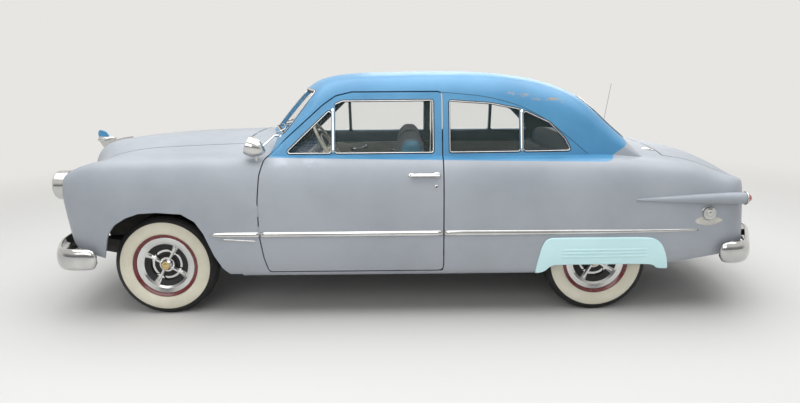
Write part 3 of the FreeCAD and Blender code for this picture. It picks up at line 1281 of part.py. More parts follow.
def fender_skirt(lower):
    """The left skirt over the wheel opening, with three raised ribs."""
    outline = side_outline(SKIRT_SHARES, SHUT_ROUND / 2, 0)
    shape = lower_body(-SKIRT_THICKNESS).cut(lower).common(outline)
    ribs = lower_body(-SKIRT_THICKNESS - RIB_HALF).cut(lower).common(outline)
    x_low, x_high = (along(station) for station in RIB_SPAN_SHARES)
    bands = [block(x_low, x_high, -WIDTH, 0, share * HEIGHT - RIB_HALF,
                   share * HEIGHT + RIB_HALF) for share in RIB_SHARES]
    return joined([shape] + [ribs.common(band) for band in bands])


# The fuel cap on the left quarter, and the door handles
FUEL_CAP_STATION_SHARE = 1.5375
FUEL_CAP_Z = 692.0
FUEL_CAP_RADIUS = 44.0
FUEL_CAP_HEIGHT = 24.0
FUEL_CAP_SHARES = [(-0.8, 0), (-0.8, 0.8), (0.4, 0.8), (0.4, 1.0), (0.8, 0.92), (1.0, 0)]
HANDLE_SHARES = (0.5725, 0.635)
HANDLE_POST_SHARES = (0.1, 0.9)
HANDLE_Z = 962.0
HANDLE_RADIUS = 8.0
HANDLE_POST_RADIUS = 6.4
HANDLE_PROUD = 26.0


def fuel_cap(lower):
    skin_at = skin_point(lower, along(FUEL_CAP_STATION_SHARE), FUEL_CAP_Z)
    return turned(scaled(FUEL_CAP_SHARES, FUEL_CAP_HEIGHT, FUEL_CAP_RADIUS), skin_at,
                  Vec(0, -1, 0)).cut(lower)


def door_handle(lower):
    """The left door's pull bar on its two posts."""
    low, high = (skin_point(lower, along(s), HANDLE_Z) for s in HANDLE_SHARES)
    outer = Vec(0, -HANDLE_PROUD, 0)
    length = Vec(high.x - low.x, 0, 0)
    bar = rod(low + outer, low + outer + length, HANDLE_RADIUS)
    posts = [rod(low + length * share + Vec(0, OVERRUN, 0), low + length * share + outer,
                 HANDLE_POST_RADIUS).cut(lower) for share in HANDLE_POST_SHARES]
    return joined([bar] + posts)


# The spotlight: its lens centre behind the front axle, tilted up and forward
SPOT_X, SPOT_Y, SPOT_Z = 612.0, 840.0, 1160.0
SPOT_TILT = 22.0
SPOT_RADIUS = 61.0
SPOT_LENGTH = 125.0
SPOT_SHARES = [(0, 1.0), (0.35, 1.0), (0.8, 0.55), (1.0, 0), (0, 0)]
SPOT_LENS_SHARES = [(-0.11, 0), (-0.08, 0.5), (0, 0.93), (0, 0)]
SPOT_ARM_SHARE = 0.45


def spotlight(lower):
    """The lamp at the foot of the left windshield post, on its arm."""
    tilt = math.radians(SPOT_TILT)
    way = Vec(math.cos(tilt), 0, -math.sin(tilt))
    front = Vec(FRONT_AXLE_X + SPOT_X, -SPOT_Y, SPOT_Z)
    lamp = turned(scaled(SPOT_SHARES, SPOT_LENGTH, SPOT_RADIUS), front, way, 4)
    lens = turned(scaled(SPOT_LENS_SHARES, SPOT_LENGTH, SPOT_RADIUS), front, way, 3)
    head = front + way * (SPOT_ARM_SHARE * SPOT_LENGTH) + Vec(0, OVERRUN, 0)
    foot = top_point(lower, head.x, head.y) - Vec(0, 0, OVERRUN)
    return joined([lamp, lens, rod(foot, head, OVERRUN / 2).cut(lower)])


ANTENNA_Y = 750.0
ANTENNA_FOOT_SHARE, ANTENNA_TIP_SHARE = 1.385, 1.440
ANTENNA_TIP = 1485.0
ANTENNA_RADIUS = 2.5
ANTENNA_BALL = 4.0
ANTENNA_BASE = 16.0
ANTENNA_BASE_SHARES = [(0, 0), (0, 1.0), (0.3, 1.0), (0.8, 0.88), (1.9, 0.44), (2.1, 0)]


def antenna(lower):
    """The mast with a ball on its tip, on a cone that stands on the right fender."""
    skin_at = top_point(lower, along(ANTENNA_FOOT_SHARE), ANTENNA_Y)
    up = top_normal(lower, skin_at.x, skin_at.y)
    foot = skin_at + up * SEAT_GAP
    tip = Vec(along(ANTENNA_TIP_SHARE), ANTENNA_Y, ANTENNA_TIP)
    base = turned(scaled(ANTENNA_BASE_SHARES, ANTENNA_BASE, ANTENNA_BASE), foot, up)
    mast = rod(foot + up * ANTENNA_BASE, tip, ANTENNA_RADIUS)
    return joined([base, mast, Part.makeSphere(ANTENNA_BALL, tip)])


# The hood ornament: outlines of its fin and keel, the ends of its base in the same
# station and height shares, and the strip behind it
FIN_SHARES = [(-0.9024, 0.6966), (-0.8927, 0.7396), (-0.7890, 0.7389), (-0.7939, 0.7003)]
FIN_HALF = 5.0
KEEL_SHARES = [(-0.8939, 0.6866), (-0.9050, 0.6930), (-0.7400, 0.7040), (-0.7317, 0.6700),
               (-0.8537, 0.6500)]
KEEL_HALF = 7.0
ORNAMENT_ENDS_SHARES = [(-0.917, 0.6916), (-0.744, 0.7028)]
ORNAMENT_SHARES = [(0, 0), (0.08, 0.6), (0.3, 1.0), (0.7, 0.8), (1.0, 0.1), (1.0, 0)]
ORNAMENT_RADIUS = 16.0
STRIP_SHARES = (-0.829, -0.579)
STRIP_HALF = 8.0


def hood_ornament(lower):
    """A fin on a bullet at the hood's nose, with its keel and the strip behind it."""
    start, end = (Vec(along(s), 0, z * HEIGHT) for s, z in ORNAMENT_ENDS_SHARES)
    way = end - start
    bullet = turned(scaled(ORNAMENT_SHARES, way.Length, ORNAMENT_RADIUS), start,
                    way.normalize(), 5)
    fin = side_prism(FIN_SHARES, FIN_HALF, -FIN_HALF, FIN_HALF)
    keel = side_prism(KEEL_SHARES, 0, -KEEL_HALF, KEEL_HALF)
    x_low, x_high = (along(station) for station in STRIP_SHARES)
    strip = lower_body(-TRIM_PROUD).cut(lower).common(
        slab(x_low, x_high, HOOD_FRONT_SHARE * HEIGHT, HEIGHT, STRIP_HALF))
    return joined([bullet, fin, keel]).cut(lower).fuse(strip)


# Interior
SEAT_HALF = 650.0
CUSHION_SHARES = [(0.385, 0.350), (0.380, 0.440), (0.530, 0.425), (0.530, 0.350)]
BACK_SHARES = [(0.5301, 0.365), (0.5301, 0.50), (0.556, 0.738), (0.600, 0.738),
               (0.603, 0.50), (0.600, 0.365)]
REAR_CUSHION_SHARES = [(0.745, 0.3803), (0.740, 0.440), (0.880, 0.415), (0.880, 0.3803)]
REAR_BACK_SHARES = [(0.8801, 0.3803), (0.8801, 0.44), (0.915, 0.655), (0.950, 0.655),
                    (0.950, 0.3803)]
REAR_SEAT_HALF = 560.0
SEAT_ROUND = 45.0
RISER_SPAN_SHARES = (0.395, 0.60)


def seat_forms(front_shares, rear_shares):
    shapes = []
    for shares, half in ((front_shares, SEAT_HALF), (rear_shares, REAR_SEAT_HALF)):
        shapes.append(side_prism(shares, SEAT_ROUND, -half, half))
    return Part.makeCompound(shapes)


def seat_risers():
    """The front bench's steel base on the floor."""
    x_low, x_high = map(along, RISER_SPAN_SHARES)
    top = CUSHION_SHARES[0][1] * HEIGHT
    low = slab(x_low, x_high, FLOOR_TOP, top, SEAT_HALF - 2 * OVERRUN)
    room = slab(x_low + OVERRUN, x_high - OVERRUN, 0, top - FLOOR_THICKNESS,
                SEAT_HALF - 3 * OVERRUN)
    tunnel = rod(Vec(x_low - OVERRUN, 0, TUNNEL_Z), Vec(x_high + OVERRUN, 0, TUNNEL_Z),
                 TUNNEL_RADIUS + FLOOR_THICKNESS)
    return low.cut(room).cut(tunnel)


DASH_SHARES = [(0.1935, 0.610), (0.1935, 0.590), (0.300, 0.550), (0.318, 0.500),
               (0.324, 0.505), (0.332, 0.610), (0.318, 0.650), (0.290, 0.655),
               (0.250, 0.630)]
DASH_HALF = 715.0


def dashboard():
    shape = side_prism(DASH_SHARES, 0, -DASH_HALF, DASH_HALF)
    return shape.cut(column_bore())


# Steering column and wheel
COLUMN_TOP = 60.0
COLUMN_FOOT = 760.0
COLUMN_SOCKET = 200.0
SHAFT_PIN = 10.0
STEER_RIM_RADIUS = 218.0
STEER_RIM_THICK = 11.0
HORN_RING_SHARES = (0.62, 0.35)
HUB_BOSS_RADIUS = 33.0
SPOKE_RADIUS = 8.8


def steering_column():
    """The column from under the wheel, through the firewall, to the steering box."""
    start, end = steer_point(COLUMN_TOP), steer_point(COLUMN_FOOT)
    socket = rod(steer_point(0), steer_point(COLUMN_SOCKET), SHAFT_PIN + PIN_CLEARANCE)
    return rod(start, end, COLUMN_RADIUS).cut(socket)


def steering_wheel():
    """Rim, two spokes, hub and the shaft that turns in the column."""
    hub = steer_point(0)
    way = (steer_point(0) - steer_point(1)).normalize()
    rim = Part.makeTorus(STEER_RIM_RADIUS, STEER_RIM_THICK, hub, way)
    boss = rod(hub - way * (COLUMN_TOP - RUNNING_GAP), hub + way * STEER_RIM_THICK,
               HUB_BOSS_RADIUS)
    shaft = rod(hub, steer_point(COLUMN_SOCKET - RUNNING_GAP), SHAFT_PIN)
    across = Vec(0, 1, 0)
    spokes = [rod(hub, hub + across * side * STEER_RIM_RADIUS, SPOKE_RADIUS)
              for side in (-1, 1)]
    radius_share, thick_share = HORN_RING_SHARES
    ring = Part.makeTorus(STEER_RIM_RADIUS * radius_share, STEER_RIM_THICK * thick_share,
                          hub, way)
    return joined([rim, boss, shaft, ring] + spokes)


def main():
    os.makedirs("parts", exist_ok=True)
    lower, thin, lower_shell, house_shell = body_forms()
    gap = side_outline(DOOR_SHARES, SHUT_ROUND, SHUT_GAP).cut(corridor(SHUT_GAP))
    gaps = Part.makeCompound([gap, mirrored(gap)])
    post_leaves, door_leaves = door_hinges(lower)
    cowl_leaves, hood_leaves = lid_hinges(lower, along(HOOD_REAR_SHARE) - HOOD_GAP / 2,
                                          Vec(1, 0, 0))
    deck_leaves, lid_leaves = lid_hinges(lower, along(DECK_FRONT_SHARE) + HOOD_GAP / 2,
                                         Vec(-1, 0, 0))
    shield, back, panes = glazing()
    bay_room = thin.common(slab(-LENGTH, along(FIREWALL_SHARE)))
    trunk_room = thin.common(slab(along(TRUNK_ROOM_SHARE), LENGTH))
    roof_shape = roof(house_shell, gaps)
    single = {
        "roof": roof_shape,
        "hood": hood(lower_shell, hood_leaves),
        "cowl": cowl(lower_shell, gaps, cowl_leaves),
        "deck_lid": deck_lid(lower_shell, lid_leaves),
        "rear_body": rear_body(lower_shell, deck_leaves),
        "front_panel": front_panel(lower_shell),
        "front_aprons": front_aprons(bay_room),
        "grille": grille(lower),
        "floor_pan": floor_pan(lower_shell, trunk_room),
        "windshield": shield,
        "rear_window": back,
        "quarter_glass": both_sides(Part.makeCompound([p.cut(roof_shape)
                                                       for p in panes[2:]])),
        "frame": frame(),
        "front_suspension": both_sides(front_suspension()),
        "rear_axle": rear_axle(),
        "leaf_springs": leaf_springs(),
        "driveshaft": driveshaft(),
        "engine": engine(),
        "radiator": radiator(),
        "exhaust": exhaust(),
        "fuel_tank": fuel_tank(),
        "front_bumper": bumper(FRONT_BUMPER_SHARES, FRONT_BUMPER_Z, -1,
                               along(RAIL_SHARES[0][0])),
        "rear_bumper": bumper(REAR_BUMPER_SHARES, REAR_BUMPER_Z, 1,
                              along(RAIL_SHARES[-1][0])),
        "headlamps": headlamps(lower),
        "headlamp_lenses": headlamp_lenses(),
        "parking_lamps": parking_lamps(lower),
        "tail_lamps": tail_lamps(),
        "fender_skirts": both_sides(fender_skirt(lower)),
        "fuel_cap": fuel_cap(lower),
        "spotlight": spotlight(lower),
        "antenna": antenna(lower),
        "hood_ornament": hood_ornament(lower),
        "seat_cushions": seat_forms(CUSHION_SHARES, REAR_CUSHION_SHARES),
        "seat_backs": seat_forms(BACK_SHARES, REAR_BACK_SHARES),
        "seat_riser": seat_risers(),
        "dashboard": dashboard(),
        "steering_column": steering_column(),
        "steering_wheel": steering_wheel(),
    }
    paired = {
        "door": door(lower_shell, house_shell, door_leaves),
        "door_glass": Part.makeCompound(panes[:2]),
        "door_handle": door_handle(lower),
        "quarter": quarter(lower_shell, house_shell, gap).fuse(tail_pod().cut(trunk_room)),
        "front_fender": front_fender(lower_shell, gap, post_leaves),
        "knuckle": knuckle(),
    }
    for end, axle_x in (("front", FRONT_AXLE_X), ("rear", REAR_AXLE_X)):
        paired["tire_" + end] = tire(axle_x)
        paired["wheel_" + end] = wheel(axle_x).fuse(wheel_cover(axle_x))
    for name, shape in single.items():
        write(name, shape)
    for name, shape in paired.items():
        write(name + "_left", shape)
        write(name + "_right", mirrored(shape))


main()
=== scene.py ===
import math

import bmesh
import bpy
import numpy as np
from mathutils import Matrix, Vector
from mathutils.bvhtree import BVHTree


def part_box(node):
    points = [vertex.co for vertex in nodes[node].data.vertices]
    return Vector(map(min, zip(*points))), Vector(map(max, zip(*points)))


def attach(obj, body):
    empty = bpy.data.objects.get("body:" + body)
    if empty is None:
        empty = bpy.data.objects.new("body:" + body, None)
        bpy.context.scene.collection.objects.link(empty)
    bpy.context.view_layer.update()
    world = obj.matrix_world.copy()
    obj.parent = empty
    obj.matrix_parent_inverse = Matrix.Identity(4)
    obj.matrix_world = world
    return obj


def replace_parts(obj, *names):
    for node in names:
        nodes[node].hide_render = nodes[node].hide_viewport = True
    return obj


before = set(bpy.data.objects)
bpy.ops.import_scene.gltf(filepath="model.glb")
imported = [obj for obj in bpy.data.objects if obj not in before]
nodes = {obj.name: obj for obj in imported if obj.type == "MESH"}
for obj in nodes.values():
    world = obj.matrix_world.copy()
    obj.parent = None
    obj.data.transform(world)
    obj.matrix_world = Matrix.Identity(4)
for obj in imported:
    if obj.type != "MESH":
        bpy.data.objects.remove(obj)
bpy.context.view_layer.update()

SIDES = ((-1, "left"), (1, "right"))

# The view: the car stands side on to a short lens at head height, four metres from
# its near side, so the flank shows flat and the hood, roof and deck fall away from
# the eye.
VIEW_POINT = Vector((-0.0968, -4.7230, 1.6293))
VIEW_TILT, VIEW_TURN, VIEW_ROLL = (math.radians(a) for a in (78.494, -0.029, -0.5785))
view = bpy.data.objects.new("view_camera", bpy.data.cameras.new("view_camera"))
view.data.lens, view.data.sensor_width = 27.5, 36.0
view.data.shift_y = -0.0108
view.matrix_world = (Matrix.Translation(VIEW_POINT) @ Matrix.Rotation(VIEW_TURN, 4, "Z")
                     @ Matrix.Rotation(VIEW_TILT, 4, "X") @ Matrix.Rotation(VIEW_ROLL, 4, "Z"))
bpy.context.scene.collection.objects.link(view)
bpy.context.scene.camera = view
bpy.context.scene.view_settings.view_transform = "Standard"

# The studio: a pale floor that runs into the pale room far off, with large soft lamps
# overhead and on both sides. The wall behind the eye is unlit, so chrome and glass on
# the near side mirror a darker band there.
FLOOR_REACH, FLOOR_LEVEL = 40.0, -0.001
FLOOR_COLOUR, FADE = (0.57, 0.565, 0.55, 1.0), (3.0, 8.5)
ROOM_COLOUR = (0.80, 0.79, 0.76, 1.0)
DARK_SIDE, DARK_RISE, DARK_WAY = (0.24, 0.24, 0.25, 1.0), (0.42, 0.10), (-0.05, -0.60)
SKY_COLOUR, SKY_POWER = (0.95, 0.97, 1.0, 1.0), 0.55
LAMPS = {"lamp_over": ((0, -0.3, 5.2), (0, 0, 0), (10.0, 7.0), 520),
         "lamp_near": ((-2.0, -6.5, 3.5), (0, 0, 0.6), (6.0, 2.5), 105),
         "lamp_far": ((2.0, 6.5, 3.5), (0, 0, 0.6), (6.0, 2.5), 90)}


def shader_of(name):
    """A new material, its tree and its shader."""
    made = bpy.data.materials.new(name)
    made.use_nodes = True
    return made, made.node_tree, made.node_tree.nodes["Principled BSDF"]


def node_of(tree, kind, feeds=(), **settings):
    """A shader node with its settings, its inputs set or linked by name or place."""
    made = tree.nodes.new(kind)
    for name, value in settings.items():
        setattr(made, name, value)
    for name, feed in dict(feeds).items():
        if isinstance(feed, bpy.types.NodeSocket):
            tree.links.new(feed, made.inputs[name])
        else:
            made.inputs[name].default_value = feed
    return made


def spread(tree, value, from_low, from_high, to_low=0.0, to_high=1.0, smooth=False):
    """A value carried from one range to another and held at its ends."""
    made = node_of(tree, "ShaderNodeMapRange",
                   {"Value": value, "From Min": from_low, "From Max": from_high,
                    "To Min": to_low, "To Max": to_high})
    if smooth:
        made.interpolation_type = "SMOOTHSTEP"
    return made.outputs["Result"]


def joined(tree, one, two, way="MULTIPLY"):
    """Two values worked together: multiplied, unless another way is named."""
    return node_of(tree, "ShaderNodeMath", {0: one, 1: two}, operation=way).outputs[0]


floor_mesh = bpy.data.meshes.new("studio_floor")
floor_mesh.from_pydata([(x * FLOOR_REACH, y * FLOOR_REACH, FLOOR_LEVEL)
                        for x, y in ((-1, -1), (1, -1), (1, 1), (-1, 1))], [], [(0, 1, 2, 3)])
floor = bpy.data.objects.new("studio_floor", floor_mesh)
bpy.context.scene.collection.objects.link(floor)
floor_finish, tree, shader = shader_of("studio_floor")
shader.inputs["Base Color"].default_value = FLOOR_COLOUR
shader.inputs["Roughness"].default_value = 0.8
reach = node_of(tree, "ShaderNodeVectorMath",
                {0: node_of(tree, "ShaderNodeTexCoord").outputs["Object"]}, operation="LENGTH")
pale = node_of(tree, "ShaderNodeEmission", {"Color": ROOM_COLOUR})
blend = node_of(tree, "ShaderNodeMixShader",
                {0: spread(tree, reach.outputs["Value"], *FADE, smooth=True),
                 1: shader.outputs[0], 2: pale.outputs[0]})
tree.links.new(blend.outputs[0], tree.nodes["Material Output"].inputs["Surface"])
floor.data.materials.append(floor_finish)

room = bpy.context.scene.world or bpy.data.worlds.new("room")
bpy.context.scene.world = room
room.use_nodes = True
tree = room.node_tree
tree.nodes.clear()
rays = node_of(tree, "ShaderNodeLightPath").outputs
shown = joined(tree, joined(tree, rays["Is Camera Ray"], rays["Is Transmission Ray"], "MAXIMUM"),
               rays["Is Glossy Ray"], "MAXIMUM")
way = node_of(tree, "ShaderNodeSeparateXYZ",
              {0: node_of(tree, "ShaderNodeTexCoord").outputs["Generated"]}).outputs
dark_part = joined(tree, spread(tree, way["Z"], *DARK_RISE, smooth=True),
                   spread(tree, way["Y"], *DARK_WAY, smooth=True))
walls = node_of(tree, "ShaderNodeMix", data_type="RGBA")
tree.links.new(dark_part, walls.inputs["Factor"])
walls.inputs["A"].default_value, walls.inputs["B"].default_value = ROOM_COLOUR, DARK_SIDE
sky = node_of(tree, "ShaderNodeBackground", {"Color": SKY_COLOUR, "Strength": SKY_POWER})
seen_walls = node_of(tree, "ShaderNodeBackground",
                     {"Color": walls.outputs["Result"], "Strength": 1.0})
choice = node_of(tree, "ShaderNodeMixShader",
                 {0: shown, 1: sky.outputs[0], 2: seen_walls.outputs[0]})
node_of(tree, "ShaderNodeOutputWorld", {"Surface": choice.outputs[0]})

for name, (place, aim, size, power) in LAMPS.items():
    light = bpy.data.lights.new(name, "AREA")
    light.shape, light.size, light.size_y, light.energy = "RECTANGLE", *size, power
    lamp = bpy.data.objects.new(name, light)
    lamp.location = place
    lamp.rotation_euler = (Vector(aim) - Vector(place)).to_track_quat("-Z", "Y").to_euler()
    bpy.context.scene.collection.objects.link(lamp)

# The body shell: pressed steel panels in flat grey-blue primer up to the belt, and in
# mid blue gloss on the window frames above it. The primer drifts in tone, is dusty low
# down, and is rubbed pale below the left vent window. Faces turned in towards the cabin
# take a near-black navy, painted shade for the dark inside of the car.
BELT_Z, BELT_SLOPE, BELT_EDGE = 1.053, 0.020, 0.0008
FOOT_RUN, FOOT_RISE = (1.23, 1.52), 0.130
DUST_RUN, DUST_SHARE, DUST = (0.62, 0.24), 0.35, (0.27, 0.27, 0.26)
RUB_RISE, RUB_FRONT, RUB_REAR = (0.995, 1.040), (-0.92, -0.86), (-0.50, -0.66)
RUB_SHARE, RUBBED = 0.45, (0.47, 0.49, 0.55)
# Painted shade: the near-black navy for faces turned in towards the cabin, and the limits of its
# mask.
INSIDE_PAINTED_SHADE = (0.010, 0.017, 0.030)
SHADE_INWARD_RUN, SHADE_UNDER_RUN = (-0.02, -0.10), (0.75, 0.55)
DUST_PATCHES, RUB_PATCHES, COAT_WEIGHT, COAT_ROUGH = (0.35, 0.75), (0.40, 0.55), 0.15, 0.25
PRIMER = [(0.278, 0.302, 0.335), (0.305, 0.330, 0.364), (0.330, 0.355, 0.392)]
BLUE = [(0.046, 0.200, 0.372), (0.056, 0.226, 0.410), (0.068, 0.250, 0.442)]


def noise_of(tree, place, scale, detail=5.0, rough=0.55):
    return node_of(tree, "ShaderNodeTexNoise", {"Vector": place, "Scale": scale, "Detail": detail,
                                                "Roughness": rough}).outputs["Fac"]


def toned(tree, place, tones, scale):
    """A colour that drifts through some tones from place to place."""
    made = node_of(tree, "ShaderNodeValToRGB", {"Fac": noise_of(tree, place, scale)})
    marks = made.color_ramp.elements
    while len(marks) < len(tones):
        marks.new(0.5)
    for i, (mark, tone) in enumerate(zip(marks, tones)):
        mark.position = 0.35 + 0.3 * i / (len(tones) - 1)
        mark.color = (*tone, 1.0)
    return made.outputs["Color"]


def mixed(tree, share, one, two):
    made = node_of(tree, "ShaderNodeMix", data_type="RGBA")
    tree.links.new(share, made.inputs["Factor"])
    for socket, colour in ((made.inputs["A"], one), (made.inputs["B"], two)):
        if isinstance(colour, tuple):
            socket.default_value = (*colour, 1.0)
        else:
            tree.links.new(colour, socket)
    return made.outputs["Result"]


def places_of(tree, stretch=None):
    """The row frame's place of each point, and its X, Y and Z."""
    place = node_of(tree, "ShaderNodeTexCoord").outputs["Object"]
    if stretch:
        place = node_of(tree, "ShaderNodeMapping",
                        {"Vector": place, "Scale": stretch}).outputs["Vector"]
    return place, node_of(tree, "ShaderNodeSeparateXYZ", {"Vector": place}).outputs


def facing_of(tree):
    """The way each point faces, as X, Y and Z."""
    facing = node_of(tree, "ShaderNodeTexCoord").outputs["Normal"]
    return node_of(tree, "ShaderNodeSeparateXYZ", {"Vector": facing}).outputs


def grained(tree, shader, place, grain, depth, strength=0.4):
    """A fine grain pressed into the finish."""
    made = node_of(tree, "ShaderNodeBump", {"Distance": depth, "Strength": strength,
                                            "Height": noise_of(tree, place, grain, 3.0)})
    tree.links.new(made.outputs["Normal"], shader.inputs["Normal"])


def gloss(tree, place, scale, low, high):
    """A roughness that drifts between low and high."""
    return spread(tree, noise_of(tree, place, scale), 0.3, 0.7, low, high)


def painted(tree, shader, colour, rough, metal=None):
    """The colour, roughness and metal of a finish, linked to its shader."""
    for socket, value in (("Base Color", colour), ("Roughness", rough), ("Metallic", metal)):
        if value is not None:
            tree.links.new(value, shader.inputs[socket])


def finish_of(name, tones, scale, rough, metal=0.0, coat=0.0, grain=300.0, depth=0.0,
              stretch=None):
    """A finish that drifts between tones, with its gloss and grain."""
    made, tree, shader = shader_of(name)
    place, _ = places_of(tree, stretch)
    painted(tree, shader, toned(tree, place, tones, scale), gloss(tree, place, scale * 3, *rough))
    for socket, value in (("Metallic", metal), ("Coat Weight", coat), ("Coat Roughness", 0.08)):
        shader.inputs[socket].default_value = value
    if depth:
        grained(tree, shader, place, grain, depth)
    return made


def wear(name, finish):
    """The finish on a node of the body, in place of its plain one."""
    nodes[name].data.materials.clear()
    nodes[name].data.materials.append(finish)


def over_belt(tree, x, z):
    """1 where the blue is: above the belt, whose line turns up at the roof's foot."""
    level = joined(tree, z, joined(tree, x, BELT_SLOPE), "ADD")
    level = joined(tree, level, spread(tree, x, *FOOT_RUN, 0.0, -FOOT_RISE, True), "ADD")
    return spread(tree, level, BELT_Z - BELT_EDGE, BELT_Z + BELT_EDGE)


def body_paint(name, two_tone):
    """Primer with dust, near-black painted shade on inward faces, and blue over the belt if asked.
    """
    made, tree, shader = shader_of(name)
    place, (x, y, z) = places_of(tree)
    dust = joined(tree, spread(tree, z, *DUST_RUN, smooth=True),
                  spread(tree, noise_of(tree, place, 4.0), *DUST_PATCHES))
    colour = mixed(tree, joined(tree, dust, DUST_SHARE), toned(tree, place, PRIMER, 1.7), DUST)
    rubbed = joined(tree, joined(tree, spread(tree, z, *RUB_RISE, smooth=True),
                                 spread(tree, x, *RUB_REAR, smooth=True)),
                    spread(tree, noise_of(tree, place, 9.0), *RUB_PATCHES))
    rubbed = joined(tree, rubbed, spread(tree, x, *RUB_FRONT, smooth=True))
    colour = mixed(tree, joined(tree, rubbed, RUB_SHARE), colour, RUBBED)
    # Painted shade: faces turned inwards, and not upwards, go near-black navy.
    facing = facing_of(tree)
    inner = joined(tree, spread(tree, joined(tree, facing["Y"], y), *SHADE_INWARD_RUN),
                   spread(tree, facing["Z"], *SHADE_UNDER_RUN))
    satin = gloss(tree, place, 7.0, 0.42, 0.52)
    if two_tone:
        above = over_belt(tree, x, z)
        colour = mixed(tree, above, colour, toned(tree, place, BLUE, 3.0))
        satin = joined(tree, joined(tree, above, -0.08), satin, "ADD")
        tree.links.new(joined(tree, above, COAT_WEIGHT), shader.inputs["Coat Weight"])
        shader.inputs["Coat Roughness"].default_value = COAT_ROUGH
    painted(tree, shader, mixed(tree, inner, colour, INSIDE_PAINTED_SHADE), satin)
    grained(tree, shader, place, 900.0, 0.00025, 0.25)
    return made


primer_and_blue, primer = body_paint("body_paint", True), body_paint("primer_paint", False)
for panel in ("door_left", "door_right", "quarter_left", "quarter_right"):
    wear(panel, primer_and_blue)
for panel in ("front_fender_left", "front_fender_right", "hood", "cowl", "deck_lid",
              "rear_body", "front_panel"):
    wear(panel, primer)

# The roof: one pressing from the windshield posts round to the foot of the rear
# window, in the same mid blue gloss. Above the quarter window the paint is rubbed
# through to rusty primer in small streaks.
ROOF_FOOT, ROOF_SHADE_INWARD, ROOF_SHADE_UNDER = (1.05, 1.06), (-0.02, -0.08), (-0.10, -0.30)
RUST_FRONT, RUST_REAR, RUST_SLOPE = (0.56, 0.70), (1.03, 0.93), 0.136
RUST_LOW, RUST_HIGH = (1.522, 1.538), (1.566, 1.550)
RUST_PATCHES, RUST_SIDE, RUST_STRETCH = (0.52, 0.60), (0.0, -0.1), (1.0, 1.0, 3.2)
RUST = [(0.24, 0.17, 0.12), (0.36, 0.31, 0.26)]
roof_finish, tree, shader = shader_of("roof_paint")
place, (x, y, z) = places_of(tree)
grey_foot = joined(tree, spread(tree, x, *ROOF_FOOT),
                   spread(tree, over_belt(tree, x, z), 1.0, 0.0))
blue = mixed(tree, grey_foot, toned(tree, place, BLUE, 2.2), toned(tree, place, PRIMER, 1.7))
streaks_at, _ = places_of(tree, RUST_STRETCH)
rust = spread(tree, noise_of(tree, streaks_at, 14.0, 7.0, 0.65), *RUST_PATCHES)
line = joined(tree, z, joined(tree, x, RUST_SLOPE), "ADD")
for value, run in ((x, RUST_FRONT), (x, RUST_REAR), (line, RUST_LOW), (line, RUST_HIGH)):
    rust = joined(tree, rust, spread(tree, value, *run, smooth=True))
rust = joined(tree, rust, spread(tree, y, *RUST_SIDE))
# Painted shade: faces turned inwards or downwards go near-black navy.
facing = facing_of(tree)
inner = joined(tree, spread(tree, joined(tree, facing["Y"], y), *ROOF_SHADE_INWARD),
               spread(tree, facing["Z"], *ROOF_SHADE_UNDER), "MAXIMUM")
blue = mixed(tree, rust, blue, toned(tree, place, RUST, 30.0))
painted(tree, shader, mixed(tree, inner, blue, INSIDE_PAINTED_SHADE), gloss(tree, place, 5.0, 0.38, 0.50))
shader.inputs["Coat Weight"].default_value = COAT_WEIGHT
shader.inputs["Coat Roughness"].default_value = COAT_ROUGH
wear("roof", roof_finish)

# Bright metal: plated lamp rims, grille bars, handles, fuel cap, antenna and
# spotlight. The plating is a little hazed and pitted.
PLATE_TONES = [(0.54, 0.54, 0.53), (0.66, 0.66, 0.65)]
chrome = finish_of("chrome_plate", PLATE_TONES, 6.0, (0.06, 0.14), metal=1.0)
for bright in ("grille", "headlamps", "fuel_cap", "spotlight", "antenna", "door_handle_left",
               "door_handle_right"):
    wear(bright, chrome)


def new_piece(name, points, faces, finishes, body, slot, smooth=True):
    """A piece with its faces turned outwards, riding on its body."""
    mesh = bpy.data.meshes.new(name)
    mesh.from_pydata([tuple(p) for p in points], [], faces)
    shape = bmesh.new()
    shape.from_mesh(mesh)
    bmesh.ops.recalc_face_normals(shape, faces=shape.faces[:])
    shape.to_mesh(mesh)
    shape.free()
    for finish in finishes:
        mesh.materials.append(finish)
    for face in mesh.polygons:
        face.use_smooth = smooth
    made = bpy.data.objects.new(name, mesh)
    bpy.context.scene.collection.objects.link(made)
    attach(made, body)
    return made


def ring_faces(rings, steps, closed=True):
    """Faces over rings of points, each joined to the next and the last to the first."""
    return [(i * steps + j, i * steps + (j + 1) % steps,
             (i + 1) % rings * steps + (j + 1) % steps, (i + 1) % rings * steps + j)
            for i in range(rings if closed else rings - 1) for j in range(steps)]


def capped_faces(rings, steps):
    """Faces over a row of rings and over both of its ends."""
    last = (rings - 1) * steps
    return ring_faces(rings, steps, False) + [tuple(range(steps)), tuple(range(last, last + steps))]


def domed_faces(rings, steps):
    """Faces over a row of rings that closes on a middle point, with a flat foot."""
    last = (rings - 1) * steps
    return ring_faces(rings, steps, False) + [tuple(range(steps))] \
        + [(last + j, last + (j + 1) % steps, last + steps) for j in range(steps)]


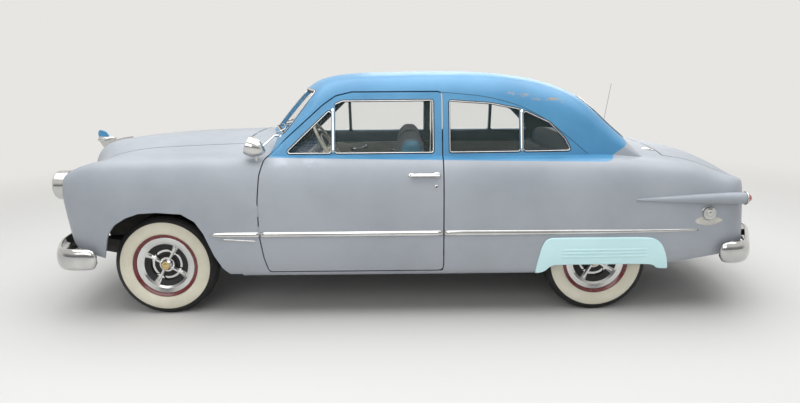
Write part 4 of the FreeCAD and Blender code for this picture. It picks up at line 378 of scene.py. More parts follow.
# The hood ornament: a cast bullet and strip in chrome, with a swept fin on top that
# is enamelled the same mid blue as the roof.
FIN_X, FIN_Z, FIN_EDGE, FIN_HALF = -2.335, 1.137, 0.001, (0.0040, 0.0058)
FIN_FLANK, BULLET_REACH, BULLET_DROP = (0.00012, 0.00009), 0.012, 0.004
FIN_OUTLINE = [(-2.4160, 1.1300), (-2.4185, 1.1480), (-2.4170, 1.1690), (-2.4090, 1.1850),
               (-2.3960, 1.1868), (-2.3790, 1.1830), (-2.3620, 1.1740), (-2.3470, 1.1600),
               (-2.3360, 1.1430), (-2.3310, 1.1300)]
ornament, tree, shader = shader_of("ornament_chrome")
place, (x, y, z) = places_of(tree)
fin = joined(tree, spread(tree, z, FIN_Z - FIN_EDGE, FIN_Z + FIN_EDGE),
             spread(tree, joined(tree, y, 2.0, "POWER"), *FIN_FLANK))
painted(tree, shader,
        mixed(tree, fin, toned(tree, place, PLATE_TONES, 9.0), toned(tree, place, BLUE, 9.0)),
        gloss(tree, place, 20.0, 0.10, 0.20), spread(tree, fin, 0.0, 1.0, 1.0, 0.0))
shape = bmesh.new()
shape.from_mesh(nodes["hood_ornament"].data)
nose_faces = [face for face in shape.faces if face.calc_center_median().x < FIN_X + BULLET_REACH]
geometry = list({v for face in nose_faces for v in face.verts}) \
    + list({e for face in nose_faces for e in face.edges}) + nose_faces
cut = bmesh.ops.bisect_plane(shape, geom=geometry, plane_co=(0, 0, FIN_Z - BULLET_DROP),
                             plane_no=(0, 0, 1), clear_outer=True)
bmesh.ops.holes_fill(shape, edges=[e for e in cut["geom_cut"] if hasattr(e, "verts")], sides=0)
bullet = bpy.data.meshes.new("ornament_bullet")
shape.to_mesh(bullet)
shape.free()
bullet.materials.append(ornament)
for face in bullet.polygons:
    face.use_smooth = False
ornament_base = bpy.data.objects.new("ornament_bullet", bullet)
bpy.context.scene.collection.objects.link(ornament_base)
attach(ornament_base, "hood")
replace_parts(ornament_base, "hood_ornament")
count = len(FIN_OUTLINE)
middle = [sum(values) / count for values in zip(*FIN_OUTLINE)]
points = [(middle[0] + (x - middle[0]) * share, side * half, middle[1] + (z - middle[1]) * share)
          for share, half in ((1.0, FIN_HALF[0]), (0.86, FIN_HALF[1])) for side, _ in SIDES
          for x, z in FIN_OUTLINE]
faces = [tuple(range(2 * count, 3 * count)), tuple(range(3 * count, 4 * count))]
for k in range(count):
    for one, two in ((0, 1), (0, 2), (1, 3)):
        faces.append((one * count + k, one * count + (k + 1) % count,
                      two * count + (k + 1) % count, two * count + k))
new_piece("ornament_fin", points, faces, (ornament,), "hood", "chrome", False)

# The glass: flat and gently curved panes, thin and nearly clear, with a faint green
# tint, each lying in its opening.
glass, tree, shader = shader_of("window_glass")
for socket, value in (("Base Color", (0.22, 0.30, 0.28, 1.0)), ("Roughness", 0.02),
                      ("Alpha", 0.05), ("Specular IOR Level", 0.5)):
    shader.inputs[socket].default_value = value
for pane in ("windshield", "rear_window", "quarter_glass", "door_glass_left",
             "door_glass_right"):
    wear(pane, glass)

# The underbody: frame, springs, axle, floor and tank in dull black paint with road
# dust; the engine block painted, the exhaust raw steel.
DUSTY_BLACK = [(0.012, 0.012, 0.012), (0.045, 0.040, 0.034)]
SILL_Y, SILL_TOP = (0.79 ** 2, 0.80 ** 2), (0.35, 0.34)
black_dust = finish_of("chassis_black", DUSTY_BLACK, 5.0, (0.55, 0.85), grain=160.0,
                       depth=0.0006)
for part in ("frame", "front_suspension", "rear_axle", "leaf_springs", "driveshaft",
             "front_aprons", "fuel_tank", "radiator", "seat_riser"):
    wear(part, black_dust)
sills, tree, shader = shader_of("floor_and_sills")
place, (x, y, z) = places_of(tree)
sill = joined(tree, spread(tree, joined(tree, y, 2.0, "POWER"), *SILL_Y),
              spread(tree, z, *SILL_TOP))
painted(tree, shader, mixed(tree, sill, toned(tree, place, DUSTY_BLACK, 5.0),
                            toned(tree, place, PRIMER, 1.7)), gloss(tree, place, 15.0, 0.48, 0.75))
grained(tree, shader, place, 160.0, 0.0006)
wear("floor_pan", sills)
wear("engine", finish_of("engine_enamel", [(0.03, 0.06, 0.11), (0.05, 0.09, 0.15)], 8.0,
                         (0.4, 0.6), grain=120.0, depth=0.0008))
wear("exhaust", finish_of("exhaust_steel", [(0.16, 0.12, 0.10), (0.30, 0.27, 0.25)], 12.0,
                          (0.45, 0.7), metal=0.8))
cast = finish_of("cast_knuckle", [(0.05, 0.05, 0.05), (0.10, 0.095, 0.09)], 10.0, (0.5, 0.75),
                 metal=0.4, grain=140.0, depth=0.001)
for part in ("knuckle_left", "knuckle_right"):
    wear(part, cast)

# The rest of the fitted parts take their own finishes: red plastic tail lamps, clear
# fluted lamp glass, a navy enamelled dashboard, and cream plastic on the steering
# wheel and its column.
lamp_glass = finish_of("lamp_glass", [(0.62, 0.66, 0.68), (0.80, 0.83, 0.84)], 60.0,
                       (0.04, 0.10), coat=1.0, grain=190.0, depth=0.002,
                       stretch=(0.2, 1.0, 0.3))
for part in ("headlamp_lenses", "parking_lamps"):
    wear(part, lamp_glass)
wear("tail_lamps", finish_of("tail_lamp_red", [(0.22, 0.006, 0.006), (0.40, 0.012, 0.010)],
                             40.0, (0.10, 0.22), coat=0.8, grain=260.0, depth=0.001))
wear("dashboard", finish_of("dash_enamel", [(0.020, 0.045, 0.090), (0.030, 0.060, 0.115)],
                            4.0, (0.22, 0.36), coat=0.3, grain=500.0, depth=0.0002))
cream_plastic = finish_of("cream_plastic", [(0.58, 0.54, 0.43), (0.66, 0.62, 0.51)], 14.0,
                          (0.24, 0.40), coat=0.2, grain=300.0, depth=0.0002)
for part in ("steering_wheel", "steering_column"):
    wear(part, cream_plastic)

# The tyres: bias-ply tyres with wide cream sidewalls between thin black edges, and
# five tread ribs with zigzag grooves between them. Each is moulded rubber, seated on
# its rim.
TYRE_WIDTH, TYRE_WALL, BEAD_RADIUS = 0.172, 0.136, 0.206
AXLES = {"front": (-1.680, 0.342), "rear": (1.216, 0.342)}
WHEEL_Y = 0.711
WALL_SHARES = [(0.30, 0.04), (0.37, 0.0), (0.43, 0.08), (0.47, 0.20), (0.492, 0.30),
               (0.50, 0.42), (0.497, 0.54), (0.482, 0.650), (0.470, 0.690), (0.464, 0.705),
               (0.445, 0.74), (0.405, 0.83), (0.36, 0.90), (0.325, 0.938)]
WHITE_SHARES = (0.02, 0.70)
TREAD_HALF, TREAD_DROP, CROWN = 0.30 * TYRE_WIDTH, 0.0030, 0.0022
GROOVE_AT, GROOVE_HALF, GROOVE_DEPTH = (-0.17, -0.057, 0.057, 0.17), 0.0126, 0.0055
GROOVE_SLANT, ZIGZAG = 0.0006, 0.0035
LUG_DEPTH, LUG_FROM, LUG_RADIUS = 0.004, 0.31 * TYRE_WIDTH, 0.331
TYRE_STEPS = 168
rubber = finish_of("tyre_rubber", [(0.005, 0.005, 0.005), (0.012, 0.012, 0.012)], 9.0,
                   (0.55, 0.75), grain=420.0, depth=0.0004)
white_rubber = finish_of("cream_sidewall", [(0.60, 0.565, 0.45), (0.68, 0.645, 0.53)], 7.0,
                         (0.45, 0.60), grain=350.0, depth=0.0003)


def tyre_profile():
    """The tyre's section: across the tread, radius, and how far a zigzag moves it."""
    low = [(share * TYRE_WIDTH, BEAD_RADIUS + rise * TYRE_WALL, 0.0)
           for share, rise in WALL_SHARES]
    top = BEAD_RADIUS + TYRE_WALL
    tread = [(TREAD_HALF, top - TREAD_DROP, 0.0)]
    for middle in reversed(GROOVE_AT):
        for side in (1, -1):
            y = (middle + side * GROOVE_HALF) * TYRE_WIDTH
            crown = top - CROWN * (2 * y / TYRE_WIDTH) ** 2
            lip = (y, crown, ZIGZAG)
            cut = (y - side * GROOVE_SLANT, crown - GROOVE_DEPTH, ZIGZAG)
            tread += [lip, cut] if side > 0 else [cut, lip]
    tread.append((-TREAD_HALF, top - TREAD_DROP, 0.0))
    return low + tread + [(-y, r, zig) for y, r, zig in reversed(low)]


def tyre(end, side, name, wheel_body):
    """A tyre round its axle, with zigzag grooves, shoulder lugs and a cream wall."""
    x, z = AXLES[end]
    profile = tyre_profile()
    points = []
    for y, radius, zig in profile:
        shoulder = abs(y) > LUG_FROM and radius > LUG_RADIUS
        for j in range(TYRE_STEPS):
            turn = math.tau * j / TYRE_STEPS
            reach = radius - (LUG_DEPTH if shoulder and j % 3 == 0 else 0.0)
            points.append((x + reach * math.cos(turn),
                           side * WHEEL_Y + y + zig * (1 if j % 4 < 2 else -1),
                           z + reach * math.sin(turn)))
    made = new_piece(name, points, ring_faces(len(profile), TYRE_STEPS), (rubber, white_rubber),
                     wheel_body, "tire_rubber")
    low, high = (BEAD_RADIUS + share * TYRE_WALL for share in WHITE_SHARES)
    for face in made.data.polygons:
        reach = math.hypot(face.center.x - x, face.center.z - z)
        outside = side * (face.center.y - side * WHEEL_Y) > 0
        if low < reach < high and abs(face.normal.y) > 0.3 and outside:
            face.material_index = 1
    return made


# The wheels: steel rims painted dark red at the edge, under chrome covers with four
# kidney openings over a black dish, a four-armed spinner, and a brass-coloured cap in
# the middle of each. The black in the openings is partly black paint and partly painted
# dark reflection; the near-black on the rim behind the cover and past its edge is
# painted shade.
RIM_RING = [(0.7690, 0.1930), (0.7765, 0.1935), (0.7800, 0.1960), (0.7830, 0.2040),
            (0.7865, 0.2110), (0.7890, 0.2150), (0.7885, 0.2175), (0.7850, 0.2180),
            (0.7760, 0.2160), (0.7640, 0.2000)]
CAP_PROFILE = [(0.0, 0.0300), (0.0022, 0.0298), (0.0036, 0.0270), (0.0030, 0.0235),
               (0.0052, 0.0150), (0.0064, 0.0060)]
WINDOW_DEPTH, WINDOW_RISE, SHADE_BEHIND_Y = 0.7705, 0.0015, 0.7350
WINDOW_REACH, WINDOW_RING = (0.050, 0.148), (0.0870, 0.1010)
WINDOW_COUNT, WINDOW_TURN, WINDOW_HALF = 4, math.radians(15.0), math.radians(38.0)
COVER_EDGE_SHADE, FACE_DROP, CAP_RISE = (0.1935, 0.1945), 0.004, 0.0066
SHADE_BEHIND_SOFT, BAND_SOFT, LOBE_SOFT = 0.002, 0.0005, 0.06
RIM_STEPS, CAP_STEPS = 96, 40
red_enamel = finish_of("red_enamel", [(0.105, 0.005, 0.007), (0.150, 0.008, 0.010)], 8.0,
                       (0.18, 0.32), coat=0.5)
brass = finish_of("brass_cap", [(0.48, 0.36, 0.16), (0.62, 0.50, 0.26)], 40.0, (0.16, 0.30),
                  metal=1.0, grain=220.0, depth=0.0006)


def wheel_chrome(name, axle):
    """Chrome; black in the four windows, partly paint and partly painted reflection,
    and near-black painted shade on the rim behind the cover and past its edge.
    """
    made, tree, shader = shader_of(name)
    place, (x, y, z) = places_of(tree)
    across, rise = joined(tree, x, -axle[0], "ADD"), joined(tree, z, -axle[1], "ADD")
    reach = joined(tree, joined(tree, across, 2.0, "POWER"),
                   joined(tree, rise, 2.0, "POWER"), "ADD")
    reach = joined(tree, reach, 0.5, "POWER")
    depth = joined(tree, y, 2.0, "POWER")
    # Painted shade: the rim behind the cover and the gap past the cover's edge go near-black.
    shade_behind = spread(tree, depth, SHADE_BEHIND_Y ** 2 + SHADE_BEHIND_SOFT, SHADE_BEHIND_Y ** 2 - SHADE_BEHIND_SOFT)
    turn = joined(tree, joined(tree, rise, across, "ARCTAN2"), -WINDOW_TURN, "ADD")
    lobe = joined(tree, joined(tree, turn, float(WINDOW_COUNT)), 0.0, "COSINE")
    edge = math.cos(WINDOW_HALF * WINDOW_COUNT)
    bands = [joined(tree, spread(tree, reach, low - BAND_SOFT, low + BAND_SOFT),
                    spread(tree, reach, high + BAND_SOFT, high - BAND_SOFT))
             for low, high in zip((WINDOW_REACH[0], WINDOW_RING[1]),
                                  (WINDOW_RING[0], WINDOW_REACH[1]))]
    # Black in the four recessed windows: partly black paint, partly a painted dark reflection.
    window = joined(tree, spread(tree, lobe, edge - LOBE_SOFT, edge + LOBE_SOFT),
                    joined(tree, *bands, "MAXIMUM"))
    window = joined(tree, window,
                    spread(tree, depth, WINDOW_DEPTH ** 2 + WINDOW_RISE, WINDOW_DEPTH ** 2))
    black_and_shade = joined(tree, joined(tree, shade_behind, spread(tree, reach, *COVER_EDGE_SHADE), "MAXIMUM"),
                  window, "MAXIMUM")
    dull = joined(tree, joined(tree, black_and_shade, 0.5), gloss(tree, place, 18.0, 0.05, 0.12), "ADD")
    bright = toned(tree, place, PLATE_TONES, 6.0)
    painted(tree, shader, mixed(tree, black_and_shade, bright, (0.006, 0.006, 0.006)), dull,
            spread(tree, black_and_shade, 0.0, 1.0, 1.0, 0.0))
    grained(tree, shader, place, 120.0, 0.0003, 0.2)
    return made


def turned_rings(profile, place, steps, side):
    """Points of a profile of (outward, radius) turned about an axle."""
    x, z = place
    return [(x + radius * math.cos(math.tau * j / steps), side * out,
             z + radius * math.sin(math.tau * j / steps))
            for out, radius in profile for j in range(steps)]


for end, axle in AXLES.items():
    cover = wheel_chrome("wheel_chrome_" + end, axle)
    for side, word in SIDES:
        corner = "%s_%s" % (end, word)
        wheel_body = "wheel_" + corner
        wear(wheel_body, cover)
        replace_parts(tyre(end, side, "whitewall_" + corner, wheel_body), "tire_" + corner)
        new_piece("rim_edge_" + corner, turned_rings(RIM_RING, axle, RIM_STEPS, side),
                  ring_faces(len(RIM_RING), RIM_STEPS), (red_enamel,), wheel_body, "wheel_bright")
        low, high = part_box(wheel_body)
        face = max(abs(low[1]), abs(high[1])) - FACE_DROP
        points = turned_rings([(face + out, r) for out, r in CAP_PROFILE], axle, CAP_STEPS, side)
        points.append((axle[0], side * (face + CAP_RISE), axle[1]))
        new_piece("hub_cap_" + corner, points, domed_faces(len(CAP_PROFILE), CAP_STEPS), (brass,),
                  wheel_body, "wheel_bright")

# Bright trim along the flanks: half-round chrome spears in three lengths a side, on
# the fender, the door and the quarter panel, with a pointed front and a small round
# rear end, clipped to the skin.
SPEAR_Z = 0.585
SPEARS = {"fender": (-1.325, -1.010, SPEAR_Z, ("body", "body"),
                     [(0, 0.15), (0.10, 0.80), (0.3, 1.0), (1, 1.02)]),
          "door": (-0.998, 0.178, SPEAR_Z, ("door_left", "door_right"), [(0, 1.02), (1, 1.05)]),
          "quarter": (0.190, 1.848, SPEAR_Z - 0.004, ("body", "body"),
                      [(0, 1.05), (0.50, 0.88), (0.985, 0.42), (1, 0.30)])}
SPEAR_HALF, SPEAR_RISE = 0.0172, 0.0085
FLANK = ["front_fender_left", "door_left", "quarter_left", "rear_body", "cowl", "floor_pan",
         "roof", "hood", "fender_skirts"]
EYE_Y, GAP_SKIN_Y, NEAREST_Y = -1.6, -0.8, -0.35
GAP_STEPS = ((0, 0), (0, 0.006), (0, -0.006), (0.006, 0), (-0.006, 0), (0, 0.015), (0.015, 0),
             (-0.015, 0))


def skin_of(names):
    """The faces of these nodes, to lay trim on."""
    shape = bmesh.new()
    for name in names:
        shape.from_mesh(nodes[name].data)
    made = BVHTree.FromBMesh(shape)
    shape.free()
    return made


flank_skin = skin_of(FLANK)


def on_flank(x, z):
    """The left flank's outer point at x and z, and the way it faces. In a gap it takes
    the nearest skin beside it."""
    for dx, dz in GAP_STEPS:
        point, facing, _, _ = flank_skin.ray_cast(Vector((x + dx, EYE_Y, z + dz)),
                                                  Vector((0, 1, 0)))
        if point and point.y < NEAREST_Y:
            return Vector((x, point.y, z)), facing if facing.y < 0 else -facing
    return Vector((x, GAP_SKIN_Y, z)), Vector((0, -1, 0))


def evened(facings, closed=False, rounds=3):
    count = len(facings)
    for _ in range(rounds):
        facings = [(facings[i - 1 if closed or i else i] + facings[i] * 2
                    + facings[(i + 1) % count if closed or i < count - 1 else i]).normalized()
                   for i in range(count)]
    return facings


def swept(places, facings, profile, closed=True, sizes=None):
    """A closed profile of (across, out) carried along places on a skin."""
    count, points = len(places), []
    for i, (place, facing) in enumerate(zip(places, facings)):
        after = places[(i + 1) % count] if closed or i < count - 1 else places[i]
        before = places[i - 1] if closed or i else places[i]
        across = (after - before).normalized().cross(facing).normalized()
        size = sizes[i] if sizes else 1.0
        points += [place + across * (a * size) + facing * (o * min(size, 1.0) if sizes else o)
                   for a, o in profile]
    steps = len(profile)
    return points, ring_faces(count, steps) if closed else capped_faces(count, steps)


def on_both(name, shape, finish, bodies, slot):
    """A piece on the left and its mirror image on the right."""
    points, faces = shape
    return [new_piece("%s_%s" % (name, word), [(p[0], p[1] * -side, p[2]) for p in points],
                      faces, (finish,), body, slot)
            for (side, word), body in zip(SIDES, bodies)]


def half_round(half, rise, under=0.003):
    """A half-round section with its foot just under the skin."""
    arc = [(half * math.cos(math.pi * k / 8), rise * math.sin(math.pi * k / 8)) for k in range(9)]
    return [(half, -under)] + arc + [(-half, -under)]


def between(low, high, share):
    return low + (high - low) * share


def height_on(line, x):
    """The height at x of a line of points that runs along x."""
    for (x1, z1), (x2, z2) in zip(line, line[1:]):
        if x <= x2:
            return z1 + (z2 - z1) * (x - x1) / max(x2 - x1, 1e-6)
    return line[-1][1]


def flank_run(start, end, steps):
    """Places on the flank at even steps between two points, and their facings, evened."""
    found = [on_flank(between(start[0], end[0], i / steps), between(start[1], end[1], i / steps))
             for i in range(steps + 1)]
    return [place for place, _ in found], evened([facing for _, facing in found])


door_bodies, fixed_bodies = ("door_left", "door_right"), ("body", "body")
SPEAR_SECTION = [(1.0, -0.35), (1.0, 0.05), (0.80, 0.72), (0.45, 1.0), (-0.25, 0.78),
                 (-0.72, 0.42), (-1.0, 0.05), (-1.0, -0.35)]
spear_section = [(across * SPEAR_HALF, out * SPEAR_RISE) for across, out in SPEAR_SECTION]
for name, (x_low, x_high, rear_z, bodies, widths) in SPEARS.items():
    steps = max(12, int((x_high - x_low) / 0.03))
    sizes = [height_on(widths, i / steps) for i in range(steps + 1)]
    run = flank_run((x_low, SPEAR_Z), (x_high, rear_z), steps)
    on_both("spear_" + name, swept(*run, spear_section, False, sizes), chrome, bodies, "chrome")

# The skirts over the rear wheels: steel pressings in pale aqua with three rolled ribs,
# their edge turned back to the body, held to the lip of the wheel opening.
SKIRT_TOP = [(0.7880, 0.3020), (0.7900, 0.3270), (0.8010, 0.3960), (0.8150, 0.4630),
             (0.8360, 0.5190), (0.8640, 0.5420), (0.9060, 0.5480), (1.1490, 0.5475),
             (1.5050, 0.5440), (1.5630, 0.5300), (1.6060, 0.4970), (1.6350, 0.4380),
             (1.6530, 0.3780), (1.6640, 0.3210)]
SKIRT_FOOT = [(0.7880, 0.3010), (0.8180, 0.3030), (0.8500, 0.3130), (0.8810, 0.3470),
              (0.9140, 0.3600), (1.2410, 0.3590), (1.5320, 0.3550), (1.5690, 0.3450),
              (1.5900, 0.3200), (1.6640, 0.3190)]
SKIRT_RIBS, RIB_SPAN, RIB_FADE = (0.4620, 0.4400, 0.4160), (0.955, 1.512), 0.01
SKIRT_THICK, SKIRT_EDGE, RIB_RISE, RIB_HALF = 0.0118, 0.008, 0.0040, 0.0045
SKIRT_BACK, SKIRT_GRID, SKIRT_TRIM = 0.0005, (96, 64), (0.0015, 0.0008)
PANEL_Y = -0.78
skirt_finish = finish_of("skirt_paint", [(0.53, 0.77, 0.80), (0.58, 0.82, 0.84)], 3.0,
                         (0.30, 0.38), coat=0.2)


def softened(line):
    """A line of points with its corners cut three times."""
    for _ in range(3):
        cut = [line[0]]
        for (x1, z1), (x2, z2) in zip(line, line[1:]):
            cut += [(0.75 * x1 + 0.25 * x2, 0.75 * z1 + 0.25 * z2),
                    (0.25 * x1 + 0.75 * x2, 0.25 * z1 + 0.75 * z2)]
        line = cut + [line[-1]]
    return line


def terms(x, z):
    """The terms of the panel's curve."""
    return 1.0, x, z, x * x, x * z, z * z, x ** 3, z ** 3


def slab_faces(wide, tall):
    """Faces of a thin slab: a grid in front, one behind it, and the rim between them."""
    row, count = tall + 1, (wide + 1) * (tall + 1)
    faces = []
    for a in (i * row + j for i in range(wide) for j in range(tall)):
        faces += [(a, a + 1, a + row + 1, a + row),
                  (count + a, count + a + row, count + a + row + 1, count + a + 1)]
    rim = [i * row for i in range(wide)] + [wide * row + j for j in range(tall)] \
        + [i * row + tall for i in range(wide, 0, -1)] + list(range(tall, 0, -1))
    return faces + [(a, b, count + b, count + a) for a, b in zip(rim, rim[1:] + rim[:1])]


def panel_curve():
    """The quarter panel's outside, carried across the wheel opening as one curve."""
    quarter_skin = skin_of(["quarter_left", "rear_body"])
    rows, sides_at = [], []
    for x in [0.70 + 0.05 * k for k in range(22)]:
        for z in (0.28, 0.32, 0.36, 0.40, 0.44, 0.50, 0.55, 0.60, 0.64):
            point, facing, _, _ = quarter_skin.ray_cast(Vector((x, EYE_Y, z)), Vector((0, 1, 0)))
            if point and point.y < PANEL_Y and abs(facing.y) > 0.8:
                rows.append(terms(x, z))
                sides_at.append(point.y)
    return np.linalg.lstsq(np.array(rows), np.array(sides_at), rcond=None)[0]


curve = panel_curve()
top_line, foot_line = softened(SKIRT_TOP), softened(SKIRT_FOOT)
wide, tall = SKIRT_GRID
x_low, x_high = SKIRT_TOP[0][0] + SKIRT_TRIM[0], SKIRT_TOP[-1][0] - SKIRT_TRIM[1]
front, back = [], []
for i in range(wide + 1):
    x = between(x_low, x_high, 0.5 - 0.5 * math.cos(math.pi * i / wide))
    low, high = height_on(foot_line, x), height_on(top_line, x)
    for j in range(tall + 1):
        z = between(low, high, 0.5 - 0.5 * math.cos(math.pi * j / tall))
        edge = min(x - x_low, x_high - x, z - low, high - z) / SKIRT_EDGE
        roll = math.sqrt(max(0.0, 1 - (1 - min(edge, 1.0)) ** 2))
        rib = max(math.exp(-((z - at) / RIB_HALF) ** 2) for at in SKIRT_RIBS)
        rib *= max(0.0, min(1.0, (x - RIB_SPAN[0]) / RIB_FADE, (RIB_SPAN[1] - x) / RIB_FADE))
        side = float(np.dot(curve, terms(x, z)))
        front.append((x, side - SKIRT_THICK * (0.25 + 0.75 * roll) - RIB_RISE * rib, z))
        back.append((x, side - SKIRT_BACK, z))
for piece in on_both("skirt", (front + back, slab_faces(wide, tall)), skirt_finish, fixed_bodies,
                     "skirt_aqua"):
    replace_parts(piece, "fender_skirts")

# The name bars: a thin blank chrome bar under each front spear, clipped to the fender
# through two holes.
BAR_FRONT, BAR_REAR, BAR_HALF, BAR_RISE = (-1.256, 0.556), (-1.020, 0.540), 0.0065, 0.0045
on_both("name_bar", swept(*flank_run(BAR_FRONT, BAR_REAR, 10), half_round(BAR_HALF, BAR_RISE),
                          False, [0.5] + [1.0] * 9 + [0.5]), chrome, fixed_bodies, "chrome")

# The side windows: each opening has a narrow chrome frame over the edge of the glass,
# with a black rubber seal between it and the painted panel. Chrome bars divide the
# vent from the door window, and the quarter window from the rear pane.
GLASS_ROUND, SEAT_REACH, BESIDE_BAR = 0.015, 0.006, 0.020
STATION, HEIGHT, FRONT_AXLE_X = 2.896, 1.605, -1.680
DOOR_PANES = {"vent": [(0.2870, 0.6790), (0.3940, 0.8600), (0.3940, 0.6790)],
              "door_window": [(0.4020, 0.6790), (0.4020, 0.8760), (0.4195, 0.8890),
                              (0.6243, 0.8890), (0.6243, 0.6790)]}
REAR_PANES = {"quarter_window": [(0.6600, 0.6790), (0.6600, 0.8870), (0.7548, 0.8740),
                                 (0.8200, 0.8500), (0.8200, 0.6790)],
              "rear_pane": [(0.8280, 0.6790), (0.8280, 0.8455), (0.8878, 0.7950),
                            (0.9230, 0.7300), (0.9380, 0.6790)]}
FRAME_PROFILE = [(0.0, -0.006), (0.0, 0.0018), (-0.0022, 0.0032), (-0.0056, 0.0012),
                 (-0.0074, -0.0040), (-0.0074, -0.0110), (-0.0030, -0.0110)]
SEAL_PROFILE = [(-0.001, -0.006), (-0.001, 0.0006), (0.0014, 0.0016), (0.0052, 0.0013),
                (0.0066, -0.0006), (0.0040, -0.0030)]
DIVIDERS = {"vent_bar": (0.3980, 1.0880, 1.3780, ("door_left", "door_right")),
            "quarter_bar": (0.8240, 1.0880, 1.3590, ("body", "body"))}
DIVIDER_HALF, DIVIDER_RISE = 0.0098, 0.0040
seal_rubber = finish_of("seal_rubber", [(0.008, 0.008, 0.008), (0.018, 0.018, 0.018)], 30.0,
                        (0.5, 0.7), grain=400.0, depth=0.0002)


def rounded(corners, radius, run=0.03):
    """Points round a closed outline with rounded corners, each with its way out."""
    corners = [Vector(corner) for corner in corners]
    after = corners[1:] + corners[:1]
    if sum(a.x * b.y - b.x * a.y for a, b in zip(corners, after)) < 0:
        corners.reverse()
    marks, count = [], len(corners)
    for i, here in enumerate(corners):
        back, ahead = here - corners[i - 1], corners[(i + 1) % count] - here
        into, away = back.normalized(), ahead.normalized()
        hand = 1.0 if into.x * away.y - into.y * away.x > 0 else -1.0
        bend = into.angle(away)
        trim = min(radius * math.tan(bend / 2), 0.45 * back.length, 0.45 * ahead.length)
        round_radius = trim / math.tan(bend / 2)
        centre = here - into * trim + Vector((-into.y, into.x)) * (hand * round_radius)
        steps = max(3, int(math.degrees(bend) / 14))
        arc = []
        for k in range(steps + 1):
            out = Vector((into.y, -into.x)) * hand
            out.rotate(Matrix.Rotation(hand * bend * k / steps, 2))
            arc.append((centre + out * round_radius, out * hand))
        marks.append(arc)
    points = []
    for i, arc in enumerate(marks):
        points += arc
        start, end = arc[-1][0], marks[(i + 1) % count][0][0]
        length = (end - start).length
        way = (end - start) / length if length > 1e-6 else Vector((1, 0))
        parts = int(length / run)
        points += [(start + way * (length * k / parts), Vector((way.y, -way.x)))
                   for k in range(1, parts)]
    return points


def opened(outline, bars):
    """The outline without its upright side beside a divider, from that side round."""
    beside_bar = [any(abs(mark.x - bar) < BESIDE_BAR for bar in bars) and abs(out.x) > 0.98
                  for mark, out in outline]
    if True not in beside_bar:
        return outline, True
    start = max(i for i in range(len(outline)) if beside_bar[i - 1] and not beside_bar[i])
    turned = outline[start:] + outline[:start]
    flags = beside_bar[start:] + beside_bar[:start]
    return [mark for mark, flag in zip(turned, flags) if not flag], False


def ring_on(outline, land, profile, closed=True):
    """A section carried along an outline that lies on a skin."""
    landed = [land(mark, out, SEAT_REACH) for mark, out in outline]
    landed = [(place, facing, out) for place, facing, out in landed if place is not None]
    facings = evened([facing for _, facing, _ in landed], closed, 2)
    made, steps, count = [], len(profile), len(landed)
    for (place, _, out), facing in zip(landed, facings):
        across = (out - facing * out.dot(facing)).normalized()
        base = place - across * SEAT_REACH
        made += [base + across * a + facing * o for a, o in profile]
    return made, ring_faces(count, steps) if closed else capped_faces(count, steps)


def beside(mark, out, reach):
    """The flank's place just outside a side outline."""
    spot = mark + out * reach
    return *on_flank(spot.x, spot.y), Vector((out.x, 0, out.y))


def side_corners(shares):
    return [(FRONT_AXLE_X + s * STATION, h * HEIGHT) for s, h in shares]


bars = [FRONT_AXLE_X + divider[0] * STATION for divider in DIVIDERS.values()]
for panes, bodies in ((DOOR_PANES, door_bodies), (REAR_PANES, fixed_bodies)):
    for name, shares in panes.items():
        outline, closed = opened(rounded(side_corners(shares), GLASS_ROUND), bars)
        on_both(name + "_frame", ring_on(outline, beside, FRAME_PROFILE, closed), chrome, bodies,
                "chrome")
        on_both(name + "_seal", ring_on(outline, beside, SEAL_PROFILE, closed), seal_rubber,
                bodies, "tire_rubber")
for (name, (_, low, high, bodies)), x in zip(DIVIDERS.items(), bars):
    on_both(name, swept(*flank_run((x, low), (x, high), 12),
                        half_round(DIVIDER_HALF, DIVIDER_RISE), False), chrome, bodies, "chrome")

# The windshield and the rear window: a wide black rubber channel round the glass with
# a chrome moulding set in it, and a chrome strip over the windshield's centre post.
BODY_HALF, FRONT_EYE_X = 0.910, -3.2
PANES = {"windshield": ([(-0.700, 0.752), (0.700, 0.752), (0.640, 0.925), (-0.640, 0.925)],
                        0.045, 1),
         "rear_window": ([(-0.610, 0.715), (0.610, 0.715), (0.560, 0.885), (-0.560, 0.885)],
                         0.090, -1)}
POST_SHARES, POST_HALF, POST_RISE = (0.758, 0.919), 0.0095, 0.0050
CHANNEL_PROFILE = [(0.009, -0.001), (0.007, 0.0035), (0.001, 0.0045), (-0.006, 0.0010),
                   (-0.013, -0.0070), (-0.013, -0.0110), (0.000, -0.0110)]
MOULDING_PROFILE = [(-0.0050, 0.0010), (-0.0040, 0.0050), (0.0010, 0.0064), (0.0060, 0.0044),
                    (0.0065, 0.0025), (0.0010, 0.0030)]
end_skin = skin_of(["roof", "cowl", "rear_body"])


def facing_end(way):
    """How an outline lands on the car's front (way 1) or back (way -1)."""
    def land(mark, out, reach):
        spot = mark + out * reach
        point, facing, _, _ = end_skin.ray_cast(Vector((FRONT_EYE_X * way, spot.x, spot.y)),
                                                Vector((way, 0, 0)))
        if point and facing.x * way > 0:
            facing = -facing
        return point, facing, Vector((0, out.x, out.y))
    return land


